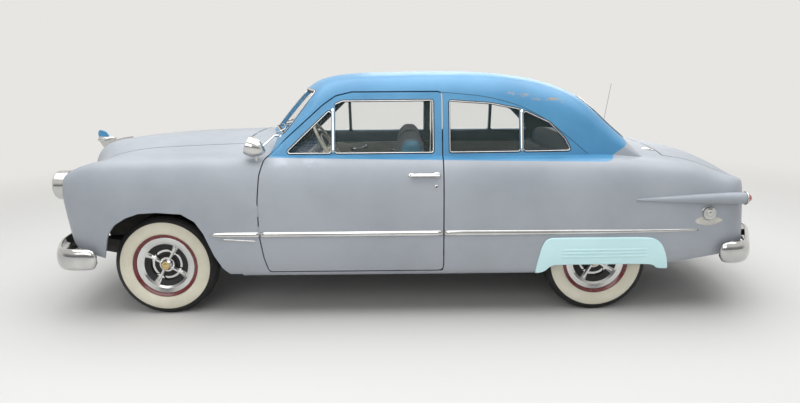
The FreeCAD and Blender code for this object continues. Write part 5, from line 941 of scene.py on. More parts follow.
for name, (shares, radius, way) in PANES.items():
    outline = rounded([(y * BODY_HALF, h * HEIGHT) for y, h in shares], radius, 0.02)
    for kind, profile, finish, slot in (("channel", CHANNEL_PROFILE, seal_rubber, "tire_rubber"),
                                        ("moulding", MOULDING_PROFILE, chrome, "chrome")):
        new_piece("%s_%s" % (name, kind), *ring_on(outline, facing_end(way), profile), (finish,),
                  "body", slot)
post = [facing_end(1)(Vector((0.0, between(*POST_SHARES, i / 12) * HEIGHT)), Vector((0, 0)), 0)
        for i in range(13)]
post = [(point, facing) for point, facing, _ in post if point]
new_piece("windshield_bar_strip",
          *swept([point for point, _ in post], evened([facing for _, facing in post]),
                 half_round(POST_HALF, POST_RISE), False), (chrome,), "body", "chrome")

# The wipers: a chrome arm and a thin black blade on each side of the windshield, at
# rest along its foot, on round chrome pivots in the cowl.
WIPER_Y, WIPER_REACH, WIPER_Z = (0.08, 0.50), 0.38, 1.222
ARM_RUN, ARM_BOW, ARM_OUT, BLADE_OUT = 0.36, 0.012, 0.016, 0.0085
FOOT_DROP, FOOT_TURN, BLADE_RISE = 0.045, Vector((-0.018, 0, 0.022)), 0.006
ARM_RADIUS, BLADE_RADIUS = 0.0042, 0.0034


def tube(name, places, radius, finish, body, slot, steps=12, taper=None):
    """A round bar through places, its ends closed."""
    points = []
    count = len(places)
    for i, place in enumerate(places):
        way = (places[min(i + 1, count - 1)] - places[max(i - 1, 0)]).normalized()
        side = way.cross(Vector((0, 0, 1)) if abs(way.z) < 0.9 else Vector((0, 1, 0))).normalized()
        up = side.cross(way)
        size = radius * (taper[i] if taper else 1.0)
        points += [place + (side * math.cos(math.tau * k / steps)
                            + up * math.sin(math.tau * k / steps)) * size for k in range(steps)]
    return new_piece(name, points, capped_faces(count, steps), (finish,), body, slot)


def on_shield(y, z, out):
    """A place at y and z, held off the windshield by out."""
    point, facing, _, _ = shield_skin.ray_cast(Vector((FRONT_EYE_X, y, z)), Vector((1, 0, 0)))
    return point + (facing if facing.x < 0 else -facing) * out


shield_skin = skin_of(["windshield", "cowl", "roof"])
for side, word in SIDES:
    inner, outer = WIPER_Y
    arm = [on_shield(side * (outer - ARM_RUN * k / 6),
                     WIPER_Z + ARM_BOW * math.sin(k / 6 * math.pi), ARM_OUT) for k in range(7)]
    foot = on_shield(side * outer, WIPER_Z - FOOT_DROP, 0.0)
    tube("wiper_arm_" + word, [foot, foot + FOOT_TURN] + arm, ARM_RADIUS, chrome,
         "body", "chrome", 10, [1.5, 1.3] + [1.0 - 0.08 * k for k in range(7)])
    blade = [on_shield(side * (inner + WIPER_REACH * k / 8), WIPER_Z + BLADE_RISE, BLADE_OUT)
             for k in range(9)]
    tube("wiper_blade_" + word, blade, BLADE_RADIUS, seal_rubber, "body", "tire_rubber", 8)

# The spotlight's bracket: a chrome tube from the lamp's back to a round base on the
# windshield post.
POST_AT, LAMP_BACK = (-0.912, 1.178), Vector((-0.985, -0.838, 1.142))
NEAR_LAMP, NEAR_POST = Vector((0.020, -0.004, 0.012)), Vector((-0.020, 0, -0.010))
BRACKET_RADIUS, BASE_RADIUS = 0.0080, 0.019
base, facing = on_flank(*POST_AT)
tube("spotlight_bracket",
     [LAMP_BACK, LAMP_BACK + NEAR_LAMP, base + facing * 0.028 + NEAR_POST,
      base + facing * 0.016, base - facing * 0.004], BRACKET_RADIUS, chrome, "body",
     "chrome")
tube("spotlight_base", [base - facing * 0.003, base + facing * 0.003, base + facing * 0.006],
     BASE_RADIUS, chrome, "body", "chrome", 24, [1.0, 1.0, 0.7])

# The roof seam: the rolled joint between the roof pressing and the quarter panel, with a
# thin dark bead laid along it from the door's upper corner down to the belt.
SEAM = [(0.6430, 0.9196), (0.7427, 0.9022), (0.8173, 0.8654), (0.8722, 0.8156),
        (0.9185, 0.7520), (0.9758, 0.6650)]
ROOF_SEAM = (0.0016, 0.0012, 0.001)
seam_points = [Vector(p) for p in side_corners(SEAM)]
marks = []
for one, two in zip(seam_points, seam_points[1:]):
    marks += [one + (two - one) * (k / 5) for k in range(5)]
marks.append(seam_points[-1])
for _ in range(3):
    marks = [marks[0]] + [(a + b * 2 + c) / 4 for a, b, c in zip(marks, marks[1:], marks[2:])] \
        + [marks[-1]]
places, facings = zip(*(on_flank(mark.x, mark.y) for mark in marks))
on_both("roof_seam", swept(places, evened(facings), half_round(*ROOF_SEAM), False),
        seal_rubber, fixed_bodies, "tire_rubber")

# The outside door handles: a plated grip over each handle bar, thicker in the middle,
# with a round push button at its rear end and a base plate under each end.
GRIP_X, GRIP_Z, GRIP_OUT, GRIP_DIP = (-0.030, 0.166), 0.962, 0.0185, 0.010
GRIP_SECTION = (0.0098, 0.0062, 16)
GRIP_SIZES = [0.45, 0.70, 0.88, 0.97, 1.0, 1.0, 0.98, 0.95, 0.92, 0.95, 1.0, 0.90, 0.60]


def oval(wide, tall, steps, middle=(0.0, 0.0)):
    """Points round an oval outline."""
    return [(middle[0] + wide * math.cos(math.tau * k / steps),
             middle[1] + tall * math.sin(math.tau * k / steps)) for k in range(steps)]


places, facings = [], []
for k in range(13):
    point, facing = on_flank(between(*GRIP_X, k / 12), GRIP_Z)
    places.append(point + facing * (GRIP_OUT - GRIP_DIP * (k / 6 - 1) ** 4))
    facings.append(facing)
on_both("handle_grip", swept(places, evened(facings), oval(*GRIP_SECTION), False, GRIP_SIZES),
        chrome, door_bodies, "chrome")

# The fuel filler's plate: a teardrop of bare pale metal under the cap, and a small
# round chrome lock below the left door handle, with its twin on the right.
PLATE_MIDDLE, PLATE_HALF, PLATE_TAPER = (1.914, 0.6395), (0.094, 0.031), 0.55
LOCK_AT, LOCK_RADIUS, SLOT_HALF = (0.138, 0.888), 0.0125, (0.0016, 0.0058)
PLATE_RISE, BASE_RISE, LOCK_RISE, SLOT_RISE = 0.0016, 0.0040, 0.0034, 0.0042
BASES = {"front": (-0.020, 0.021, 0.0135), "rear": (0.140, 0.026, 0.0165)}
BUTTON_X, BUTTON_RADIUS = 0.146, 0.0118
BUTTON_PROFILE = [(0.002, 1.0), (0.0225, 1.0), (0.0250, 0.85), (0.0260, 0.4)]
bare_metal = finish_of("bare_metal", [(0.48, 0.47, 0.42), (0.58, 0.57, 0.52)], 30.0, (0.35, 0.5),
                       metal=0.15)


def patch_on(outline, rise):
    """A thin shield on the flank inside an outline of (x, z), crowned to the middle."""
    outline = [Vector(mark) for mark in outline]
    middle = sum(outline, Vector((0, 0))) / len(outline)
    rings = [(1.0, -0.001), (1.0, rise * 0.6), (0.94, rise), (0.6, rise * 1.1), (0.25, rise * 1.1)]
    points = []
    for share, out in rings:
        for mark in outline:
            point, facing = on_flank(*(middle + (mark - middle) * share))
            points.append(point + facing * out)
    point, facing = on_flank(*middle)
    return points + [point + facing * rise * 1.1], domed_faces(len(rings), len(outline))


outline = []
for across, up in oval(1.0, 1.0, 40):
    outline.append((PLATE_MIDDLE[0] + PLATE_HALF[0] * across,
                    PLATE_MIDDLE[1] + PLATE_HALF[1] * up
                    * (1 - PLATE_TAPER * max(across, 0.0) ** 2)))
new_piece("filler_plate", *patch_on(outline, PLATE_RISE), (bare_metal,), "body", "chrome")
for name, (x, wide, tall) in BASES.items():
    on_both("handle_base_" + name, patch_on(oval(wide, tall, 24, (x, GRIP_Z)), BASE_RISE),
            chrome, door_bodies, "chrome")
point, facing = on_flank(BUTTON_X, GRIP_Z)
points = [point + Vector((a * size, 0, b * size)) + facing * out
          for out, size in BUTTON_PROFILE for a, b in oval(BUTTON_RADIUS, BUTTON_RADIUS, 20)]
on_both("handle_button", (points, capped_faces(4, 20)), chrome, door_bodies, "chrome")
on_both("door_lock", patch_on(oval(LOCK_RADIUS, LOCK_RADIUS, 24, LOCK_AT), LOCK_RISE),
        chrome, door_bodies, "chrome")
on_both("door_lock_slot", patch_on(oval(*SLOT_HALF, 12, LOCK_AT), SLOT_RISE), seal_rubber,
        door_bodies, "tire_rubber")

# The fuel cap's trim: a turned chrome ring round the cap and a low boss in its middle,
# both pressed onto the cap.
CAP_AT, TRIM_STEPS = (1.906, 0.692), 40
CAP_RING = [(-0.004, 0.0500), (0.004, 0.0500), (0.0085, 0.0470), (0.0085, 0.0452),
            (-0.004, 0.0440)]
CAP_BOSS = [(0.016, 0.0230), (0.0255, 0.0225), (0.0268, 0.0200), (0.0252, 0.0170),
            (0.0268, 0.0120), (0.0272, 0.0040)]
cap_base = abs(on_flank(*CAP_AT)[0].y)
for name, profile, covered in (("fuel_cap_rim", CAP_RING, ring_faces),
                               ("fuel_cap_boss", CAP_BOSS, capped_faces)):
    points = turned_rings([(cap_base + out, reach) for out, reach in profile], CAP_AT, TRIM_STEPS,
                          -1)
    new_piece(name, points, covered(len(profile), TRIM_STEPS), (chrome,), "body", "chrome")

# The deck lid's outer hinges: small chrome castings in front of the lid at each side,
# screwed to the panel below the rear window.
HINGE_X, HINGE_Y, HINGE_HALF, HINGE_RISE = (1.585, 1.672), 0.50, 0.017, 0.012
HINGE_SIZES = [0.25, 0.6, 0.85, 1.0, 1.0, 0.95, 0.85, 0.8, 0.8]
deck_skin = skin_of(["rear_body", "roof", "deck_lid", "quarter_left", "quarter_right"])
for side, word in SIDES:
    places, facings = [], []
    for k in range(9):
        point, facing, _, _ = deck_skin.ray_cast(
            Vector((between(*HINGE_X, k / 8), side * HINGE_Y, 1.6)), Vector((0, 0, -1)))
        places.append(point)
        facings.append(facing if facing.z > 0 else -facing)
    new_piece("deck_hinge_" + word, *swept(places, facings, half_round(HINGE_HALF, HINGE_RISE),
                                           False, HINGE_SIZES), (chrome,), "body", "chrome")

# The bumpers: crowned spring-steel blades in chrome, bent round the corners with their
# ends rounded off, each on two flat bars bolted to the frame rails.
BUMPERS = {"front_bumper": (-1, 0.427, [(-2.0750, 0.8950), (-2.3040, 0.9000),
                                        (-2.4370, 0.6279), (-2.4744, 0.0)]),
           "rear_bumper": (1, 0.431, [(1.9880, 0.8850), (2.1500, 0.8900),
                                      (2.3928, 0.4473), (2.4872, 0.0)])}
BUMPER_BENDS, BUMPER_HALF, BUMPER_DEPTH, BUMPER_SKIN = (0.150, 0.650, 5.0), 0.072, 0.0338, 0.006
CROWN_POWER, LIP_STEPS, END_ROUND, END_SHARE, RAIL_Y = 0.85, 18, 0.060, 0.30, 0.400
ARM_SINK, ARM_IN_RAIL = 0.002, 0.03
ARM_SECTION = [(0.022, -0.005), (0.022, 0.005), (0.019, 0.0058), (-0.019, 0.0058),
               (-0.022, 0.005), (-0.022, -0.005), (-0.019, -0.0058), (0.019, -0.0058)]


def bent(corners, bends, run=0.02):
    """Points along an open line with its inner corners rounded."""
    line = [Vector(corners[0])]
    for before, here, after, radius in zip(corners, corners[1:], corners[2:], bends):
        before, here, after = Vector(before), Vector(here), Vector(after)
        into, away = (here - before).normalized(), (after - here).normalized()
        bend = into.angle(away)
        trim = min(radius * math.tan(bend / 2), 0.48 * (here - before).length,
                   0.48 * (after - here).length)
        steps = max(4, int(math.degrees(bend) / 5))
        start, stop = here - into * trim, here + away * trim
        for k in range(steps + 1):
            t = k / steps
            line.append(start * (1 - t) ** 2 + here * (2 * t * (1 - t)) + stop * t ** 2)
    line.append(Vector(corners[-1]))
    dense = []
    for one, two in zip(line, line[1:]):
        count = max(1, int((two - one).length / run))
        dense += [one + (two - one) * (k / count) for k in range(count)]
    return dense + [line[-1]]


def blade_section(half, depth, skin):
    """A crowned blade's section: outer face, rolled lips and hollow back."""
    turns = [math.radians(-90 + 180 * k / LIP_STEPS) for k in range(LIP_STEPS + 1)]
    outer = [(half * math.sin(a), depth * math.cos(a) ** CROWN_POWER) for a in turns]
    inner = [((half - skin) * math.sin(-a),
              (depth - skin) * math.cos(a) ** CROWN_POWER - skin * 0.3) for a in turns]
    return [(a, max(o, 0.0)) for a, o in outer] + [(a, max(o, -0.004)) for a, o in inner]


frame_ends = [corner[0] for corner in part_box("frame")]
section = blade_section(BUMPER_HALF, BUMPER_DEPTH, BUMPER_SKIN)
for name, (outward, height, corners) in BUMPERS.items():
    line = bent([(x, -y) for x, y in corners] + corners[-2::-1],
                BUMPER_BENDS + BUMPER_BENDS[-2::-1])
    places = [Vector((p.x, p.y, height)) for p in line]
    last = len(places) - 1
    facings = [(places[min(i + 1, last)] - places[max(i - 1, 0)]).normalized()
               .cross(Vector((0, 0, 1))) for i in range(last + 1)]
    if (facings[last // 2].x > 0) != (outward > 0):
        facings = [-facing for facing in facings]
    run = [0.0]
    for one, two in zip(places, places[1:]):
        run.append(run[-1] + (two - one).length)
    sizes = []
    for at in run:
        near = min(1.0, min(at, run[-1] - at) / END_ROUND)
        sizes.append(END_SHARE + (1 - END_SHARE) * math.sqrt(max(0.0, 1 - (1 - near) ** 2)))
    piece = new_piece(name + "_blade", *swept(places, evened(facings), section, False, sizes),
                      (chrome,), "body", "chrome")
    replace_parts(piece, name)
    rail_end = frame_ends[0] if outward < 0 else frame_ends[1]
    blade = BVHTree.FromObject(piece, bpy.context.evaluated_depsgraph_get())
    for side, word in SIDES:
        inner = blade.ray_cast(Vector((rail_end, side * RAIL_Y, height)),
                               Vector((outward, 0, 0)))[0]
        reach = inner.x + outward * ARM_SINK
        spots = [Vector((between(rail_end, reach, k / 4) - outward * ARM_IN_RAIL * (k == 0),
                         side * RAIL_Y, height)) for k in range(5)]
        arm = new_piece("%s_arm_%s" % (name, word),
                        *swept(spots, [Vector((0, side, 0))] * 5, ARM_SECTION, False),
                        (black_dust,), "body", "chassis_black", False)
        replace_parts(arm, name)

# The tail lamps' rims: a turned chrome ring behind each red lens, pressed over the
# end of the pod.
TAIL_RING = ((0.000, 1.02), (0.003, 1.10), (0.008, 1.10), (0.011, 1.00), (0.008, 0.97))
low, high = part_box("tail_lamps")
radius, lamp_z = (high[2] - low[2]) / 2, (low[2] + high[2]) / 2
for side, word in SIDES:
    lamp_y = side * (abs(low[1]) - radius)
    points = [(low[0] + out, y, z) for out, reach in TAIL_RING
              for y, z in oval(radius * reach, radius * reach, 36, (lamp_y, lamp_z))]
    new_piece("tail_rim_" + word, points, ring_faces(5, 36), (chrome,), "body", "chrome")

# The seats: a full-width front bench whose back is split for the way to the rear, and
# a rear bench. Each is a sprung pad in navy cloth with sewn pleats, and its ends and
# back are blue vinyl.
PAD_SHRINK, PAD_SWELL, PAD_VOXEL, PAD_PRESSURE, PAD_FRAMES = 0.010, 0.020, 0.011, 4.0, 20
BACK_OUTLINE = [(-0.136, 0.590), (-0.141, 0.8025), (-0.0698, 1.184), (0.0576, 1.184),
                (0.0663, 0.8025), (0.0576, 0.590)]
PADS = {
    "front_seat_cushion": ([(-0.565, 0.562), (-0.5795, 0.706), (-0.147, 0.688), (-0.147, 0.562)],
                           -0.645, 0.645, "seat_cushions", (10, 0.55), 0.045),
    "front_seat_back_left": (BACK_OUTLINE, -0.645, -0.006, "seat_backs", (5, 0.25), 0.050),
    "front_seat_back_right": (BACK_OUTLINE, 0.006, 0.645, "seat_backs", (5, 0.25), 0.050),
    "rear_seat_cushion": ([(0.4775, 0.610), (0.463, 0.706), (0.8655, 0.672), (0.8655, 0.610)],
                          -0.555, 0.555, "seat_cushions", (9, 0.46), 0.035),
    "rear_seat_back": ([(0.878, 0.612), (0.874, 0.706), (0.970, 1.051), (1.066, 1.051),
                        (1.066, 0.612)],
                       -0.555, 0.555, "seat_backs", (9, 0.46), 0.045),
}
PLEAT_DEPTH, PLEAT_HALF = 0.0055, 0.0075
END_SEAM, SEAM_DEPTH, SEAM_HALF = 0.030, 0.006, 0.008
WEAVE_SCALE, WEAVE_DEPTH = 420.0, 0.0006
NAVY_CLOTH = [(0.030, 0.042, 0.062), (0.042, 0.056, 0.078), (0.056, 0.072, 0.096)]
BLUE_VINYL = [(0.030, 0.150, 0.225), (0.042, 0.180, 0.260)]


def seat_cloth(name):
    """Navy cloth with a fine weave, and blue vinyl where the pad faces sideways."""
    made, tree, shader = shader_of(name)
    place, _ = places_of(tree)
    ends = spread(tree, joined(tree, facing_of(tree)["Y"], 2.0, "POWER"), 0.34, 0.42)
    painted(tree, shader, mixed(tree, ends, toned(tree, place, NAVY_CLOTH, 26.0),
                                toned(tree, place, BLUE_VINYL, 8.0)),
            spread(tree, ends, 0.0, 1.0, 0.82, 0.36))
    shader.inputs["Sheen Weight"].default_value = 0.25
    warp, weft = (node_of(tree, "ShaderNodeTexWave", {"Vector": place, "Scale": WEAVE_SCALE},
                          bands_direction=way).outputs["Fac"] for way in ("X", "Y"))
    weave = node_of(tree, "ShaderNodeBump", {"Strength": 0.30, "Distance": WEAVE_DEPTH,
                                             "Height": joined(tree, warp, weft, "ADD")})
    tree.links.new(weave.outputs["Normal"], shader.inputs["Normal"])
    return made


seat_finish = seat_cloth("seat_cloth")


def block_of(profile, y_low, y_high, rounding):
    """The pad before it is stuffed: its side outline drawn across, corners rounded."""
    middle = Vector([sum(values) for values in zip(*profile)]) / len(profile)
    drawn = []
    for mark in profile:
        away = Vector(mark) - middle
        drawn.append(middle + away * (1 - PAD_SHRINK / away.length))
    outline = rounded(drawn, rounding, 0.05)
    low, high = y_low + PAD_SHRINK, y_high - PAD_SHRINK
    points = [(mark.x - out.x * inset * rounding, y, mark.y - out.y * inset * rounding)
              for y, inset in ((low, 0.55), (low + rounding * 0.35, 0.15), (low + rounding, 0.0),
                               (high - rounding, 0.0), (high - rounding * 0.35, 0.15),
                               (high, 0.55))
              for mark, out in outline]
    mesh = bpy.data.meshes.new("pad_block")
    mesh.from_pydata(points, [], capped_faces(6, len(outline)))
    shape = bmesh.new()
    shape.from_mesh(mesh)
    bmesh.ops.recalc_face_normals(shape, faces=shape.faces[:])
    shape.to_mesh(mesh)
    shape.free()
    return mesh


def shaped_by(piece):
    """The piece's mesh with its modifiers worked in."""
    solved = piece.evaluated_get(bpy.context.evaluated_depsgraph_get())
    return bpy.data.meshes.new_from_object(solved)


def stuffed(name, mesh):
    """The block remeshed evenly and blown up as cloth, its swelling held to a limit."""
    pad = bpy.data.objects.new(name, mesh)
    bpy.context.scene.collection.objects.link(pad)
    even = pad.modifiers.new("even", "REMESH")
    even.mode, even.voxel_size = "VOXEL", PAD_VOXEL
    smooth = pad.modifiers.new("smooth", "SMOOTH")
    smooth.factor, smooth.iterations = 0.5, 6
    bpy.context.view_layer.update()
    pad.data = shaped_by(pad)
    pad.modifiers.clear()
    before = [v.co.copy() for v in pad.data.vertices]
    cloth = pad.modifiers.new("stuffing", "CLOTH")
    cloth.settings.use_pressure = True
    cloth.settings.uniform_pressure_force = PAD_PRESSURE
    cloth.settings.effector_weights.gravity = 0.0
    cloth.settings.quality = 4
    cloth.collision_settings.use_collision = False
    cloth.point_cache.frame_start, cloth.point_cache.frame_end = 1, PAD_FRAMES
    for step in range(1, PAD_FRAMES + 1):
        bpy.context.scene.frame_set(step)
    swollen = shaped_by(pad)
    pad.modifiers.clear()
    bpy.context.scene.frame_set(1)
    for vertex, start, end in zip(pad.data.vertices, before, swollen.vertices):
        move = end.co - start
        vertex.co = start + move * min(1.0, PAD_SWELL / max(move.length, 1e-9))
    return pad


for name, (profile, y_low, y_high, node, (pleats, reach), rounding) in PADS.items():
    pad = stuffed(name, block_of(profile, y_low, y_high, rounding))
    middle = (y_low + y_high) / 2
    lines = [between(middle - reach, middle + reach, k / pleats) for k in range(pleats + 1)]
    seams = (y_low + END_SEAM, y_high - END_SEAM)
    pad.data.update()
    for vertex in pad.data.vertices:
        facing = vertex.normal
        near = min(abs(vertex.co.y - line) for line in lines)
        show = max(0.0, facing.z, -facing.x) if "back" in name or facing.z > 0 else 0.0
        pull = PLEAT_DEPTH * math.exp(-(near / PLEAT_HALF) ** 2) * min(1.0, show * 1.6)
        edge = min(abs(vertex.co.y - seam) for seam in seams)
        vertex.co -= facing * (pull + SEAM_DEPTH * math.exp(-(edge / SEAM_HALF) ** 2))
    finer = pad.modifiers.new("finer", "SUBSURF")
    finer.levels = finer.render_levels = 1
    for face in pad.data.polygons:
        face.use_smooth = True
    pad.data.materials.append(seat_finish)
    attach(pad, "body")
    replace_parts(pad, node)

# The welting: a blue vinyl piping over a cord, sewn round each seat pad near both of
# its ends.
WELT_IN, WELT_SECTION = 0.045, [(a, o + 0.0015) for a, o in oval(0.0046, 0.0040, 8)]
WELT_FROM, WELT_NEAR = 0.12, 0.2
piping = finish_of("vinyl_piping", [(0.10, 0.115, 0.135), (0.16, 0.175, 0.20)], 20.0,
                   (0.35, 0.5), grain=300.0, depth=0.0003)
for name, (profile, *_, rounding) in PADS.items():
    state = bpy.context.evaluated_depsgraph_get()
    pad = bpy.data.objects[name]
    pad_skin = BVHTree.FromObject(pad, state)
    ends = [corner[1] for corner in pad.evaluated_get(state).bound_box]
    for word, y in (("low", min(ends) + WELT_IN), ("high", max(ends) - WELT_IN)):
        places, facings = [], []
        for mark, out in rounded(profile, rounding, 0.03):
            away = Vector((out.x, 0, out.y))
            start = Vector((mark.x, y, mark.y)) + away * WELT_FROM
            point = pad_skin.ray_cast(start, -away)[0]
            if point and (point - start).length < WELT_NEAR:
                places.append(point)
                facings.append(away)
        new_piece("%s_welt_%s" % (name, word), *swept(places, facings, WELT_SECTION), (piping,),
                  "body", "seat_vinyl")

# The door and quarter trim: hardboard cards covered in grey-tan vinyl, pressed with
# long flutes, under a padded navy roll along the sill. A chrome strip parts the two.
CARD_Y, CARD_THICK, CARD_GRID = 0.7275, 0.0055, (60, 40)
CARD_EDGE, FLUTES, FLUTE_DEPTH = 0.0015, 7, 0.0016
CARDS = {"door": (-0.965, 0.120, 0.420, 0.985, door_bodies),
         "quarter": (0.235, 1.060, 0.700, 0.985, fixed_bodies)}
ROLL_GAP, ROLL_TOP, ROLL_DEPTH, ROLL_STEPS, ROLL_LENGTHS = 0.006, 1.086, 0.007, 14, 40
STRIP_HALF, STRIP_RISE, STRIP_OUT = 0.0042, 0.0028, 0.004
tan_vinyl = finish_of("tan_vinyl", [(0.27, 0.255, 0.225), (0.33, 0.315, 0.28)], 10.0,
                      (0.42, 0.58), grain=260.0, depth=0.0005)
navy_vinyl = finish_of("navy_vinyl", [(0.014, 0.026, 0.050), (0.024, 0.040, 0.070)], 10.0,
                       (0.35, 0.50), grain=260.0, depth=0.0005)


def card(x_low, x_high, z_low, z_high):
    """A fluted card: a grid in front, a flat back and closed edges."""
    wide, tall = CARD_GRID
    front, back = [], []
    for i in range(wide + 1):
        for j in range(tall + 1):
            u, v = i / wide, j / tall
            edge = min(u * wide, (1 - u) * wide, v * tall, (1 - v) * tall, 2.0) / 2.0
            flute = FLUTE_DEPTH * abs(math.sin(v * math.pi * FLUTES)) * min(1.0, edge)
            out = CARD_EDGE + (CARD_THICK - CARD_EDGE - FLUTE_DEPTH - 0.0001) * edge + flute
            x, z = between(x_low, x_high, u), between(z_low, z_high, v)
            front.append((x, out - CARD_Y, z))
            back.append((x, -CARD_Y, z))
    return front + back, slab_faces(wide, tall)


def roll(x_low, x_high, z_low, z_high, depth):
    """A padded roll: a half-round cushion, fuller in the middle of its length."""
    middle, half, points = (z_low + z_high) / 2, (z_high - z_low) / 2, []
    for i in range(ROLL_LENGTHS + 1):
        u = i / ROLL_LENGTHS
        end = min(1.0, min(u, 1 - u) * ROLL_LENGTHS / 3)
        full = 0.55 + 0.45 * math.sqrt(max(0.0, 1 - (1 - end) ** 2))
        for k in range(ROLL_STEPS):
            turn = math.tau * k / ROLL_STEPS
            points.append((between(x_low, x_high, u),
                           depth * max(0.0, math.sin(turn)) ** 0.8 * full - CARD_Y,
                           middle - half * math.cos(turn) * full))
    return points, capped_faces(ROLL_LENGTHS + 1, ROLL_STEPS)


for name, (x_low, x_high, z_low, z_high, bodies) in CARDS.items():
    on_both(name + "_card", card(x_low, x_high, z_low, z_high), tan_vinyl, bodies, "seat_vinyl")
    for piece in on_both(name + "_sill_roll",
                         roll(x_low, x_high, z_high + ROLL_GAP, ROLL_TOP, ROLL_DEPTH),
                         navy_vinyl, bodies, "seat_vinyl"):
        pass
    places = [Vector((between(x_low, x_high, k / 12), STRIP_OUT - CARD_Y, z_high + 0.002))
              for k in range(13)]
    on_both(name + "_card_strip", swept(places, [Vector((0, 1, 0))] * 13,
                                        half_round(STRIP_HALF, STRIP_RISE), False),
            chrome, bodies, "chrome")

# The window cranks and inside door handles: plated levers on round escutcheons on
# each door card, the crank with a dark knob at its end.
CRANK_AT, CRANK_END = (-0.403, 0.944), (-0.515, 0.930)
LEVER_AT, LEVER_END = (-0.060, 0.925), (-0.185, 0.922)
LEVER_OUT, LEVER_BOW, LEVER_HALF = 0.022, 0.006, 0.0085
LEVER_SIZES = [1.0, 0.95, 0.85, 0.78, 0.74, 0.72, 0.74, 0.8, 0.88, 0.95, 0.8]
BOSS_PROFILE = [(0.003, 0.024), (0.008, 0.023), (0.012, 0.014), (0.020, 0.010), (0.026, 0.009)]
KNOB_PROFILE = [(0.020, 0.005), (0.028, 0.006), (0.032, 0.011), (0.040, 0.013), (0.047, 0.011),
                (0.050, 0.005)]


def spun(name, middle, profile, finish, slot, steps=28):
    """A small turned boss facing inwards from each door card."""
    profile = [(CARD_Y - out, r) for out, r in profile]
    on_both(name, (turned_rings(profile, middle, steps, -1), capped_faces(len(profile), steps)),
            finish, door_bodies, slot)


for name, at, end in (("crank", CRANK_AT, CRANK_END), ("door_pull", LEVER_AT, LEVER_END)):
    spun(name + "_boss", at, BOSS_PROFILE, chrome, "chrome")
    places = [Vector((between(at[0], end[0], k / 10),
                      LEVER_OUT + LEVER_BOW * math.sin(math.pi * k / 10) - CARD_Y,
                      between(at[1], end[1], k / 10))) for k in range(11)]
    section = half_round(LEVER_HALF, LEVER_HALF * 0.8, LEVER_HALF * 0.3)
    on_both(name + "_lever",
            swept(places, [Vector((0, 1, 0))] * 11, section, False, LEVER_SIZES), chrome,
            door_bodies, "chrome")
spun("crank_knob", CRANK_END, KNOB_PROFILE, navy_vinyl, "seat_vinyl")

# The headliner: grey napped cloth stretched over bows under the roof, drooping a
# little between them, with a sewn seam at each bow.
LINER_X, LINER_HALF, LINER_GAP, LINER_GRID = (-0.600, 0.900), 0.50, 0.010, (60, 32)
BOWS, BOW_DROOP, CABIN_Z, EDGE_STEP = 5, 0.007, 1.25, 0.93
liner_cloth = finish_of("liner_cloth", [(0.26, 0.27, 0.28), (0.32, 0.33, 0.34)], 40.0,
                        (0.8, 0.95), grain=700.0, depth=0.0005)
inside_skin = skin_of(["roof"])


def sheet_faces(long_, wide):
    """Faces of a flat grid of points."""
    row = wide + 1
    return [(i * row + j, i * row + j + 1, (i + 1) * row + j + 1, (i + 1) * row + j)
            for i in range(long_) for j in range(wide)]


def length_of(line):
    return sum((two - one).length for one, two in zip(line, line[1:]))


long_, wide = LINER_GRID
points = []
for i in range(long_ + 1):
    x = between(*LINER_X, i / long_)
    for j in range(wide + 1):
        y = LINER_HALF * (2 * j / wide - 1)
        for _ in range(8):
            point = inside_skin.ray_cast(Vector((x, y, CABIN_Z)), Vector((0, 0, 1)))[0]
            if point:
                break
            y *= EDGE_STEP
        droop = BOW_DROOP * abs(math.sin(i / long_ * BOWS * math.pi)) \
            * (1 - (y / LINER_HALF) ** 4)
        points.append(Vector((x, y, point.z - LINER_GAP - droop)))
liner = new_piece("headliner", points, sheet_faces(long_, wide), (liner_cloth,), "body",
                  "seat_vinyl")
row = wide + 1
across = length_of(points[long_ // 2 * row:(long_ // 2 + 1) * row])
lengthwise = length_of(points[wide // 2::row])

# The dash fittings: a round speedometer and a radio face with chrome bezels, a chrome
# strip along the lip, a mirror on the windshield header, and the gear lever on the
# steering column.
DASH_Z, STRIP_Z, STRIP_Y = 0.840, 0.8120, 0.690
DIALS = {"speedometer": (-0.360, 0.070, 0.026), "radio_face": (0.0, 0.085, 0.022),
         "glove_lid": (0.360, 0.130, 0.026)}
BEZEL = ((0.0, -0.002), (0.0, 0.005), (0.003, 0.0075), (0.006, 0.005), (0.007, 0.001))
MIRROR_MIDDLE, MIRROR_HALF, MIRROR_TALL = Vector((-0.660, 0.0, 1.395)), 0.095, 0.024
MIRROR_RINGS = ((0.006, 0.004), (0.001, 0.004), (0.0, 0.0), (0.004, -0.008), (0.020, -0.013))
STEM_X, STEM_GAP = -0.672, 0.002
GEAR_LEVER = [Vector((-0.655, -0.345, 1.010)), Vector((-0.640, -0.250, 1.045)),
              Vector((-0.610, -0.185, 1.085)), Vector((-0.600, -0.170, 1.098))]
dial = finish_of("dial_face", [(0.42, 0.40, 0.33), (0.50, 0.48, 0.40)], 40.0, (0.2, 0.3),
                 coat=0.6)
dash_skin = skin_of(["dashboard"])


def on_dash(y, z, out):
    return dash_skin.ray_cast(Vector((0.0, y, z)), Vector((-1, 0, 0)))[0] + Vector((out, 0, 0))


def plate_outline(y, z, wide, tall, rounding):
    return rounded([(y - wide, z - tall), (y + wide, z - tall), (y + wide, z + tall),
                    (y - wide, z + tall)], rounding, 0.02)


